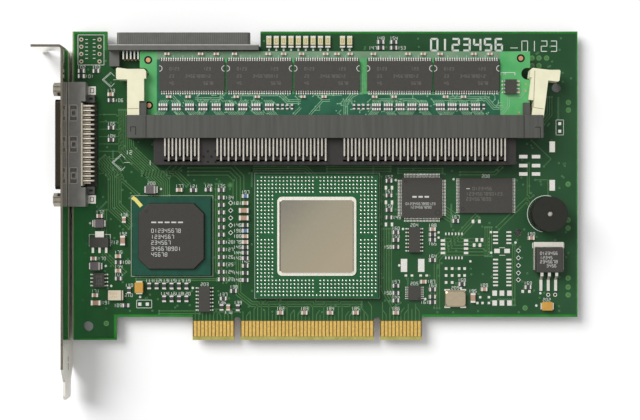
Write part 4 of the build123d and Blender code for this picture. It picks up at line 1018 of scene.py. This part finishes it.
def copper():
    tracks, lower, rings, holes = Shape(), Shape(), Shape(), Shape()
    vias = via_places()
    for path, count, pitch in BUSES:
        vias += bus(tracks, path, count, pitch)
    for step in range(9):
        y = 78.0 - step * 2.55
        path = [(9.2, y), (15.0 + step * 0.25, y), (17.0 + step * 0.1, y - 1.8)]
        tracks.ribbon(path, TRACK, 0.0, COPPER_FILM)
    for low, high in lumps("edge_fingers"):
        x = (low.x + high.x) / 2
        top = 8.2 + 4.6 * dice.random()
        lean = dice.choice((-1.2, 0.0, 0.0, 1.2))
        path = [(x, high.y - 0.1), (x, top), (x + lean, top + abs(lean) + 0.4)]
        tracks.ribbon(path, TRACK, 0.0, COPPER_FILM)
    tracks.piece("covered_tracks", TRACE, "board_laminate")
    for path, count, pitch in UNDER_BUSES:
        vias += bus(lower, path, count, pitch, UNDER, UNDER - COPPER_FILM)
    lower.piece("covered_lower_tracks", TRACE, "board_laminate")
    for x, y in vias:
        for face, out in ((0.0, 1), (UNDER, -1)):
            rings.ring(x, y, VIA_BORE, VIA_RADIUS, face, face + out * 0.016, 10)
            holes.disc(x, y, VIA_BORE, face, face + out * 0.01, 8)
    rings.piece("via_rings", VIA, "board_laminate")
    holes.piece("via_centres", HOLE, "board_laminate")


# Nodes whose leads come through the board, and the way in which their tails lie off their middle
THROUGH_LEADS = {"memory_socket_contacts": (0, -1), "internal_port_contacts": (0, -1),
                 "external_port_contacts": (1, 0), "buzzer_pins": (0, 0), "external_port_board_locks": (0, 0)}


def solder_side():
    """Fingers and solder joints on the underside, one joint for each lead that comes through."""
    fingers, joints = Shape(), Shape()
    for low, high in lumps("edge_fingers"):
        fingers.slab(low.x, low.y, high.x, high.y, UNDER, UNDER - 0.05)
    fingers.piece("lower_fingers", LOOKS["finger_gold"], "finger_gold")
    for node, way in THROUGH_LEADS.items():
        for low, high in lumps(node):
            if low.z <= UNDER:
                middle = (low + high) / 2
                x = high.x - 0.2 if way[0] else middle.x
                y = low.y + 0.2 if way[1] else middle.y
                joints.dome(x, y, UNDER, 0.52 if any(way) else 0.95, -0.65, 10)
    joints.piece("solder_joints", SOLDER, "contact_tin")


# Packages

BALL_HEIGHT = 0.5
BALL_RADIUS = 0.36
BALL_PITCH = 1.27
DOT_RINGS = (12, 16)  # first and last ring of dots, counted from the middle of the package
LID_RIM = 1.15


def processor_dots():
    x, y, top = top_of("processor_substrate")
    first, last = DOT_RINGS
    dots = Shape()
    for i, j in grid(range(-last, last + 1), range(-last, last + 1)):
        reach = max(abs(i), abs(j))
        corner = abs(i) == abs(j) == last
        crossing = 0 in (i, j) and reach < last
        if reach >= first and not corner and not crossing:
            dots.dome(x + i * BALL_PITCH, y + j * BALL_PITCH, top, 0.29, 0.06, 10, 2)
    dots.piece("processor_dots", SOLDER, "contact_tin")


def lid_groove():
    """The shaded step between the lid's rim and its raised field."""
    low, high = box_of("processor_lid")
    left, right = low.x + LID_RIM, high.x - LID_RIM
    inset = LID_RIM + 0.5
    step = low.z + 0.35
    groove = Shape()
    for x0, x1 in ((left - 0.42, left - 0.02), (right + 0.02, right + 0.2)):
        groove.slab(x0, low.y + inset, x1, high.y - inset, step, step + INK_FILM)
    groove.piece("lid_groove", GROOVE_BROWN, "lid_metal")


def solder_balls():
    """The outermost balls of each ball grid package, which show in the gap under its edge."""
    balls = Shape()
    half = BALL_HEIGHT / 2
    for node in ("processor_substrate", "port_controller_substrate"):
        low, high = box_of(node)
        middle = (low + high) / 2
        edge = (high.x - low.x) / 2 - 0.95
        for along in evenly(int(2 * edge / BALL_PITCH), BALL_PITCH):
            for x, y in ((along, edge), (along, -edge), (edge, along), (-edge, along)):
                for height in (half, -half):
                    balls.dome(middle.x + x, middle.y + y, half, BALL_RADIUS, height, 8, 2)
    balls.piece("package_balls", SOLDER, "contact_tin")


# Rows of figures on the chips: tone, height, and each row's place from the middle and its length
MEMORY_ROWS = ((-7.6, 1.9, 4), (4, 1.9, 3), (-7.6, -0.6, 2), (-2.2, -0.6, 10), (-7.6, -3, 2), (4, -3, 4))
CHIP_TEXT = (
    ("port_controller_mould", "bright", 1.25,
     ((-6.8, 1.3, 9), (-6.8, -0.8, 7), (-6.8, -2.8, 6), (-6.8, -4.9, 9), (-6.8, -6.9, 5))),
    ("logic_chip", "bright", 0.8, ((-5.6, -2.5, 14), (-4, -3.7, 10))),
    ("flash_chip", "faint", 1.05, ((-4.6, 1.9, 7), (-6.8, 0.1, 13), (-6.8, -1.7, 9))),
    ("regulator_body", "bright", 0.95, ((-3.4, 1.9, 7), (-3.4, 0.4, 5), (-3.4, -1, 7), (-1.2, -2.4, 4))),
    ("configuration_chip", "faint", 0.8, ((-0.9, 0.8, 3), (-0.9, -0.4, 3), (-0.9, -1.6, 3))),
    ("resonator", "brown", 0.7, ((-2, 0.25, 4), (-2, -0.95, 4))),
    *((chip, "faint", 0.95, MEMORY_ROWS) for chip in MEMORY_CHIPS),
)
# Place of the first dash from the middle, count, step, length and width
CHIP_DASHES = (
    ("port_controller_mould", -6.0, 4.8, 5, 2.3, 1.7, 0.5),
    ("logic_chip", -2.6, 0.3, 3, 2.1, 1.5, 0.6),
    ("flash_chip", -6.2, 2.4, 1, 2.0, 1.2, 0.25),
)
# Place from the middle and radius
CHIP_DIMPLES = (
    ("logic_chip", -5.6, 5.5, 0.5),
    ("logic_chip", 5.4, -5.2, 0.9),
    ("flash_chip", -8.0, -4.6, 0.6),
    ("port_controller_mould", -8.5, 8.6, 0.5),
    ("clock_chip", 1.5, -1.9, 0.35),
)
CHIP_INKS = {"bright": BRIGHT_INK, "faint": FAINT_INK, "brown": COPPER}


def chip_marks():
    """Plain figures and dashes where the chips are marked, and a dimple at the first lead."""
    shapes = {tone: Shape() for tone in CHIP_INKS}
    for node, tone, height, rows in CHIP_TEXT:
        x, y, top = top_of(node)
        for row, (dx, dy, length) in enumerate(rows):
            shapes[tone].number(figures(length, row), x + dx, y + dy, height, top, top + FIGURE_FILM)
    for node, dx, dy, count, step, long, wide in CHIP_DASHES:
        x, y, top = top_of(node)
        for place in range(count):
            shapes["bright"].pad(x + dx + place * step, y + dy, long, wide, top, top + FIGURE_FILM)
    for tone, shape in shapes.items():
        shape.piece(tone + "_chip_figures", CHIP_INKS[tone], "chip_epoxy")
    dimples = Shape()
    for node, dx, dy, radius in CHIP_DIMPLES:
        x, y, top = top_of(node)
        dimples.ring(x + dx, y + dy, radius - 0.12, radius, top, top + FIELD_FILM, 24)
    dimples.piece("chip_dimples", HOLE, "chip_epoxy")


def sounder_disc():
    """The pale disc at the bottom of the buzzer's sound hole, and the rim round the hole."""
    x, y, top = top_of("buzzer")
    disc, rim = Shape(), Shape()
    disc.dome(x, y, top - 0.5, 0.88, 0.35, 20, 4)
    disc.piece("sounder_disc", PALE_FELT, "buzzer_plastic")
    rim.ring(x, y, 0.9, 1.12, top, top + MARK_FILM, 28)
    rim.piece("sounder_rim", LOOKS["buzzer_plastic"], "buzzer_plastic")


def resonator_end():
    low, high = box_of("resonator")
    dark = Shape()
    dark.slab(high.x - 0.75, low.y - 0.01, high.x - 0.35, high.y + 0.01, low.z, high.z + MARK_FILM)
    dark.piece("resonator_band", LOOKS["tantalum_dark"], "tantalum_dark")


# Ports and socket

PORT_Y = 67.4
PORT_TOP = 5.6
PORT_AXIS = 3.1
PORT_POCKETS = (-10.7, 0.0, 10.7)
POCKET_DEPTH = 0.45
SHOULDER_OFFSET = 15.75
SHOULDER_TOP = 3.2
JACK_OFFSET = 18.95
JACK_END = -5.55
CONTACTS_IN_ROW = 34
INNER_TOP = 7.0
INNER_NOSE = 6.4
INNER_FRONT = 105.5


def port_pockets():
    """Painted highlights on the rims and inner frames of the external port's pockets, painted shade on their
    floors, and the two lines along its front: a painted highlight and a painted shade.
    """
    edges, floors = Shape(), Shape()
    mark = PORT_TOP + MARK_FILM
    floor_z = PORT_TOP - POCKET_DEPTH
    for offset in PORT_POCKETS:
        y = PORT_Y + offset
        edges.frame_line(0.1, y - 2.7, 2.66, y + 2.7, 0.24, PORT_TOP, mark)
        edges.frame_line(0.6, y - 1.1, 2.2, y + 1.1, 0.24, floor_z, floor_z + INK_FILM)
        for inner, outer in ((-2.5, -1.25), (1.25, 2.5)):
            floors.slab(0.25, y + inner, 2.5, y + outer, floor_z, floor_z + 0.01)
    # Along the front: a painted highlight, then painted shade by the bracket.
    edges.slab(-0.3, 46.3, -0.1, 88.5, PORT_TOP, mark)
    floors.slab(-0.57, 46.1, -0.3, 88.7, PORT_TOP, mark)
    edges.piece("port_pocket_highlights", PORT_EDGE_HIGHLIGHT, "housing_plastic")
    floors.piece("port_pocket_floors", POCKET_FLOOR, "housing_plastic")


def port_surround():
    """Moulded shoulders round the external port's leads, a black plate under them as painted shade, and marks
    on its board locks.
    """
    shoulders, slots, shade_plate, marks = Shape(), Shape(), Shape(), Shape()
    for y in (PORT_Y - SHOULDER_OFFSET, PORT_Y + SHOULDER_OFFSET):
        shoulders.slab(5.48, y - 1.3, 8.2, y + 1.3, 0.0, SHOULDER_TOP)
        slots.slab(6.3, y - 0.35, 7.6, y + 0.35, SHOULDER_TOP, SHOULDER_TOP + MARK_FILM)
    shoulders.piece("port_shoulders", LOOKS["housing_plastic"], "housing_plastic")
    slots.piece("port_shoulder_slots", HOLE, "housing_plastic")
    # Painted shade: a black plate under the leads, where their deep shade falls, shaped like a lead alignment
    # plate.
    shade_plate.slab(4.5, PORT_Y - 14.4, 8.7, PORT_Y + 14.4, 0.0, 0.8)
    shade_plate.piece("port_lead_shade_plate", LOOKS["guide_plastic"], "guide_plastic")
    for low, high in lumps("external_port_board_locks"):
        x, y, _ = (low + high) / 2
        marks.frame_line(x - 0.55, y - 0.75, x + 0.6, y + 0.75, 0.22, high.z, high.z + MARK_FILM)
    marks.piece("lock_marks", GROOVE_BROWN, "contact_tin")


def port_mouth():
    """Contacts in the slot of the external port, and threads and grooves of its jack sockets."""
    ribs, threads, grooves = Shape(), Shape(), Shape()
    for along in evenly(CONTACTS_IN_ROW, 0.8):
        y = PORT_Y + along
        for way in (-1, 1):
            ribs.slab(-4.2, y - 0.2, -1.4, y + 0.2, PORT_AXIS + way * 0.55, PORT_AXIS + way * 0.4)
    ribs.piece("port_slot_contacts", LOOKS["finger_gold"], "finger_gold")
    top = box_of("jack_sockets")[1].z
    for y in (PORT_Y - JACK_OFFSET, PORT_Y + JACK_OFFSET):
        for turn in range(9):
            x = JACK_END + turn * 0.35
            threads.ring(y, PORT_AXIS, 0.76, 0.93, x, x + 0.16, 20, lying=True)
        for side in (y - 0.75, y + 0.75):
            grooves.slab(JACK_END, side - 0.17, -1.6, side + 0.17, top, top + THIN_FILM)
    threads.piece("jack_threads", LOOKS["jack_nickel"], "jack_nickel")
    grooves.piece("jack_grooves", GROOVE_BROWN, "jack_nickel")


def internal_port():
    """A painted highlight on top where the nose meets the flange, grooves and two rows of holes in the nose,
    and joints at the leads.
    """
    line, grooves, holes, joints = Shape(), Shape(), Shape(), Shape()
    # Painted highlight along the front edge of the flange.
    line.slab(13.6, 101.05, 64.4, 101.3, INNER_TOP, INNER_TOP + MARK_FILM)
    line.piece("inner_port_highlight", PORT_EDGE_HIGHLIGHT, "housing_plastic")
    for step in range(70):
        x = 17.2 + step * 0.635
        grooves.slab(x - 0.07, 101.5, x + 0.07, 105.2, INNER_NOSE, INNER_NOSE + 0.01)
    grooves.piece("inner_port_grooves", DULL_LINE, "housing_plastic")
    for step in range(CONTACTS_IN_ROW):
        for row, start in ((2.5, 18.045), (4.7, 18.68)):
            x = start + step * 1.27
            holes.slab(x - 0.3, INNER_FRONT, x + 0.3, INNER_FRONT + MARK_FILM, row - 0.3, row + 0.3)
    holes.piece("inner_port_holes", HOLE, "housing_plastic")
    for low, high in lumps("internal_port_contacts"):
        joints.dome((low.x + high.x) / 2, low.y + 0.2, 0.0, 0.5, 0.25, 10, 2)
    joints.piece("inner_port_joints", COPPER, "contact_tin")


SOCKET_SEAMS = (
    [(158.4, 73), (160.2, 73), (160.2, 69.5)],
    [(154.7, 76.9), (154.7, 69.5)],
    [(21.5, 71.5), (21.5, 73.1), (23.2, 73.1), (23.2, 70.3)],
    [(26.7, 76.9), (26.7, 69.5)],
)
GUIDE_HOLES = ((47.4, 64.9), (50, 64.9), (46, 63.1), (48.6, 63.1), (47.4, 61.35), (50, 61.35))
LATCH_CREASES = {"left_latch": [(20.3, 79.4), (24, 79.4)],
                 "right_latch": [(158.6, 92.3), (158.1, 79.8), (161.5, 79.3)]}
LATCH_FACE = 8.0
BRACKET_FACE = -0.57


def socket_lines():
    """Moulded joints on the socket's ends and the pin guide's open holes."""
    lines = Shape()
    top = box_of("memory_socket_housing")[1].z
    for path in SOCKET_SEAMS:
        lines.ribbon(path, 0.22, top, top + THIN_FILM)
    guide_top = box_of("memory_socket_pin_guide")[1].z
    for x, y in GUIDE_HOLES:
        lines.disc(x, y, 0.4, guide_top, guide_top + THIN_FILM)
    lines.piece("socket_lines", HOLE, "housing_plastic")


def latch_lines():
    """Painted shade along the crease of the raised finger face on each latch."""
    for node, path in LATCH_CREASES.items():
        line = Shape()
        line.ribbon(path, 0.26, LATCH_FACE, LATCH_FACE + THIN_FILM)
        line.piece(node + "_crease", LATCH_CREASE_SHADE, "latch_plastic", node)


def bracket_marks():
    """Two worn dashes on the tail of the bracket."""
    dashes = Shape()
    for low, high in ((-9.8, -7.4), (-6.9, -5.2)):
        dashes.slab(BRACKET_FACE, low, BRACKET_FACE + THIN_FILM, high, 4.3, 5.0)
    dashes.piece("bracket_dashes", GROOVE_BROWN, "bracket_steel")


# Memory module: each bus is a path and a count of tracks

MODULE_FACE = box_of("memory_board")[1].z
MODULE_FILM = MODULE_FACE + THIN_FILM
MODULE_MARK = MODULE_FACE + MARK_FILM
MODULE_TRACK = 0.21
MODULE_BUSES = (
    ([(58.5, 84.6), (72, 84.6), (74.5, 82), (79, 82)], 3),
    ([(99.5, 91.5), (99.5, 85.6), (96.4, 84), (94.4, 81.6), (94.4, 77.3)], 3),
    ([(102, 84.7), (128, 84.7)], 2),
    ([(36.5, 85.4), (54, 85.4)], 2),
    ([(35.2, 84), (38.6, 80)], 2),
    ([(128, 83), (142.5, 83), (145, 80), (148, 80)], 3),
    ([(147.5, 77.4), (150, 80.4), (150, 83.6), (154, 83.6), (156, 86.5)], 2),
    ([(82, 77.4), (86.5, 82.4), (89, 82.4)], 2),
    ([(76.5, 77.4), (79, 80)], 2),
    ([(43, 83), (52, 83)], 2),
    ([(84, 84.8), (93, 84.8)], 3),
    ([(104, 82.6), (118, 82.6), (120, 80.6)], 2),
)
MODULE_SPOTS = ((26.9, 96.2), (27.2, 80.7), (154.2, 96.8))
SMALL_SPOTS = grid((153.6, 155.9), (78.3, 85.6, 88)) + grid((33.6, 35.3), (88.6, 91.4))
SHORT_RUNS = 220


def module_print():
    white = Shape()
    for chip in MEMORY_CHIPS:
        low, high = box_of(chip)
        for x, start in ((low.x, -90), (high.x, 90)):
            white.arc(x, 93.2, 0.95, start, start + 180, 0.2, high.z, high.z + MARK_FILM)
    bracket = [(147.4, 91.0), (147.4, 91.9), (152.2, 91.9), (152.2, 91.0)]
    white.ribbon(bracket, 0.2, MODULE_FACE, MODULE_MARK)
    white.number("12", 148.2, 91.2, 0.55, MODULE_FACE, MODULE_MARK)
    white.piece("module_print", INK, "module_laminate")


def module_fields():
    """Bright strips between the chips, and painted shade under their leads over the darker resist between the
    pads.
    """
    strips, bands = Shape(), Shape()
    boxes = [box_of(chip) for chip in MEMORY_CHIPS]
    for (low, high), following in zip(boxes, boxes[1:]):
        end = following[0].x
        strips.slab(high.x, low.y - 1.0, end, high.y + 1.0, MODULE_FACE, MODULE_FACE + FIELD_FILM)
    # Painted shade: darker green under each row of leads, where they shade the module.
    for low, high in boxes:
        for y in (high.y, low.y - MEMORY_REACH):
            bands.slab(low.x + 0.2, y, high.x - 0.2, y + MEMORY_REACH, MODULE_FACE, MODULE_FACE + 0.004)
    strips.piece("module_strips", MODULE_BRIGHT, "module_laminate")
    bands.piece("module_lead_painted_shade", LEAD_SHADE_GREEN, "module_laminate")


def module_tracks():
    tracks = Shape()

    def run(path, width=MODULE_TRACK):
        tracks.ribbon(path, width, MODULE_FACE, MODULE_FILM)

    for index, (low, high) in enumerate(lumps("memory_resistor_packs")):
        lean = 1.6 if index % 3 else -1.6
        for x in shares(low.x, high.x, 5):
            run([(x, low.y - 0.2), (x + lean * 0.25, low.y - 0.7), (x + lean, 77.2)])
            run([(x, high.y + 0.3), (x, high.y + 0.8), (x - lean * 0.4, high.y + 1.6)])
    for path, count in MODULE_BUSES:
        for offset in evenly(count, 0.62):
            run(shifted(path, offset))
    for chip in MEMORY_CHIPS:
        low, high = box_of(chip)
        start = high.y + MEMORY_REACH
        for along in evenly(MEMORY_LEADS, MEMORY_PITCH)[1::4]:
            x = (low.x + high.x) / 2 + along
            run([(x, start), (x, start + 0.9)], 0.3)
    for _ in range(SHORT_RUNS):
        x = 36.0 + 112.0 * dice.random()
        y = 77.6 + 7.4 * dice.random()
        if dice.random() < 0.7:
            dx, dy = dice.choice(((1.6, 0.0), (1.1, 1.1), (1.1, -1.1), (0.0, 1.3)))
            run([(x, y), (x + dx, y + dy)])
        tracks.disc(x, y, 0.24, MODULE_FACE, MODULE_MARK, 10)
    tracks.piece("module_tracks", MODULE_TRACE, "module_laminate")


def module_spots():
    spots, clear = Shape(), Shape()
    for x, y in MODULE_SPOTS:
        spots.disc(x, y, 0.8, MODULE_FACE, MODULE_MARK, 24)
        clear.ring(x, y, 0.8, 1.4, MODULE_FACE, MODULE_FILM, 24)
    for x, y in SMALL_SPOTS:
        spots.disc(x, y, 0.3, MODULE_FACE, MODULE_MARK, 12)
    spots.piece("module_copper_spots", COPPER, "module_laminate")
    clear.piece("module_clear_rings", HOLE, "module_laminate")


# Stage

FLOOR_HALF = 3.0  # metres
SKY = ((0.0, 0.16), (0.8, 0.44), (1.0, 0.92))  # height in the sky and its grey
SUN_WAY = (-0.62, 0.52, 0.72)
SUN_STRENGTH = 2.65
SUN_WIDTH = 36  # degrees
EYE = (85.6, 44.95, 450)
FOCAL_LENGTH = 73.2
SENSOR = 36


def floor():
    """Paper that looks white to the camera and in mirrors, and throws less light on the object."""
    mesh = bpy.data.meshes.new("floor")
    corners = ((-1, -1), (1, -1), (1, 1), (-1, 1))
    points = [(x * FLOOR_HALF, y * FLOOR_HALF, cad_box[0][2]) for x, y in corners]
    mesh.from_pydata(points, [], [[0, 1, 2, 3]])
    obj = placed("floor", mesh)
    paint = Paint("floor paper", 0.9)
    cast, seen = (paint.node("ShaderNodeBsdfDiffuse", {"Color": (grey, grey, grey, 1.0)}).outputs["BSDF"]
                  for grey in (0.7, 1.0))
    rays = paint.node("ShaderNodeLightPath", {}).outputs
    looks = paint.math("ADD", rays["Is Camera Ray"], rays["Is Glossy Ray"], rays["Is Transmission Ray"])
    blend = paint.node("ShaderNodeMixShader", {"Fac": looks, 1: cast, 2: seen})
    surface = paint.tree.nodes["Material Output"].inputs["Surface"]
    paint.tree.links.new(blend.outputs["Shader"], surface)
    obj.data.materials.append(paint.material)


def light():
    world = bpy.data.worlds.new("studio")
    world.use_nodes = True
    bpy.context.scene.world = world
    tree = world.node_tree
    way = new_node(tree, "ShaderNodeTexCoord", {}).outputs["Generated"]
    height = new_node(tree, "ShaderNodeSeparateXYZ", {"Vector": way}).outputs["Z"]
    sky = colour_ramp(tree, height, [(place, (grey, grey, grey)) for place, grey in SKY])
    tree.links.new(sky, tree.nodes["Background"].inputs["Color"])
    sun = bpy.data.lights.new("key", "SUN")
    sun.energy = SUN_STRENGTH
    sun.angle = math.radians(SUN_WIDTH)
    placed("key", sun).rotation_euler = Vector(SUN_WAY).to_track_quat("Z", "Y").to_euler()


def camera():
    lens = bpy.data.cameras.new("camera")
    lens.lens = FOCAL_LENGTH
    lens.sensor_width = SENSOR
    eye = placed("camera", lens)
    eye.location = spot(*EYE)
    bpy.context.scene.camera = eye


paint_nodes()
fine_leads()
bent_leads("small_chip_leads", LEADED)
bent_leads("serial_memory_leads", ("serial_memory_chip",))
small_part_ends()
tantalum_bands()
lamp_detail()
bare_pads()
test_spots()
crystal_lands()
white_print()
part_numbers()
copper()
solder_side()
processor_dots()
lid_groove()
solder_balls()
chip_marks()
sounder_disc()
resonator_end()
port_pockets()
port_surround()
port_mouth()
internal_port()
socket_lines()
latch_lines()
bracket_marks()
module_print()
module_fields()
module_tracks()
module_spots()
floor()
light()
camera()
bpy.context.scene.view_settings.view_transform = "Standard"
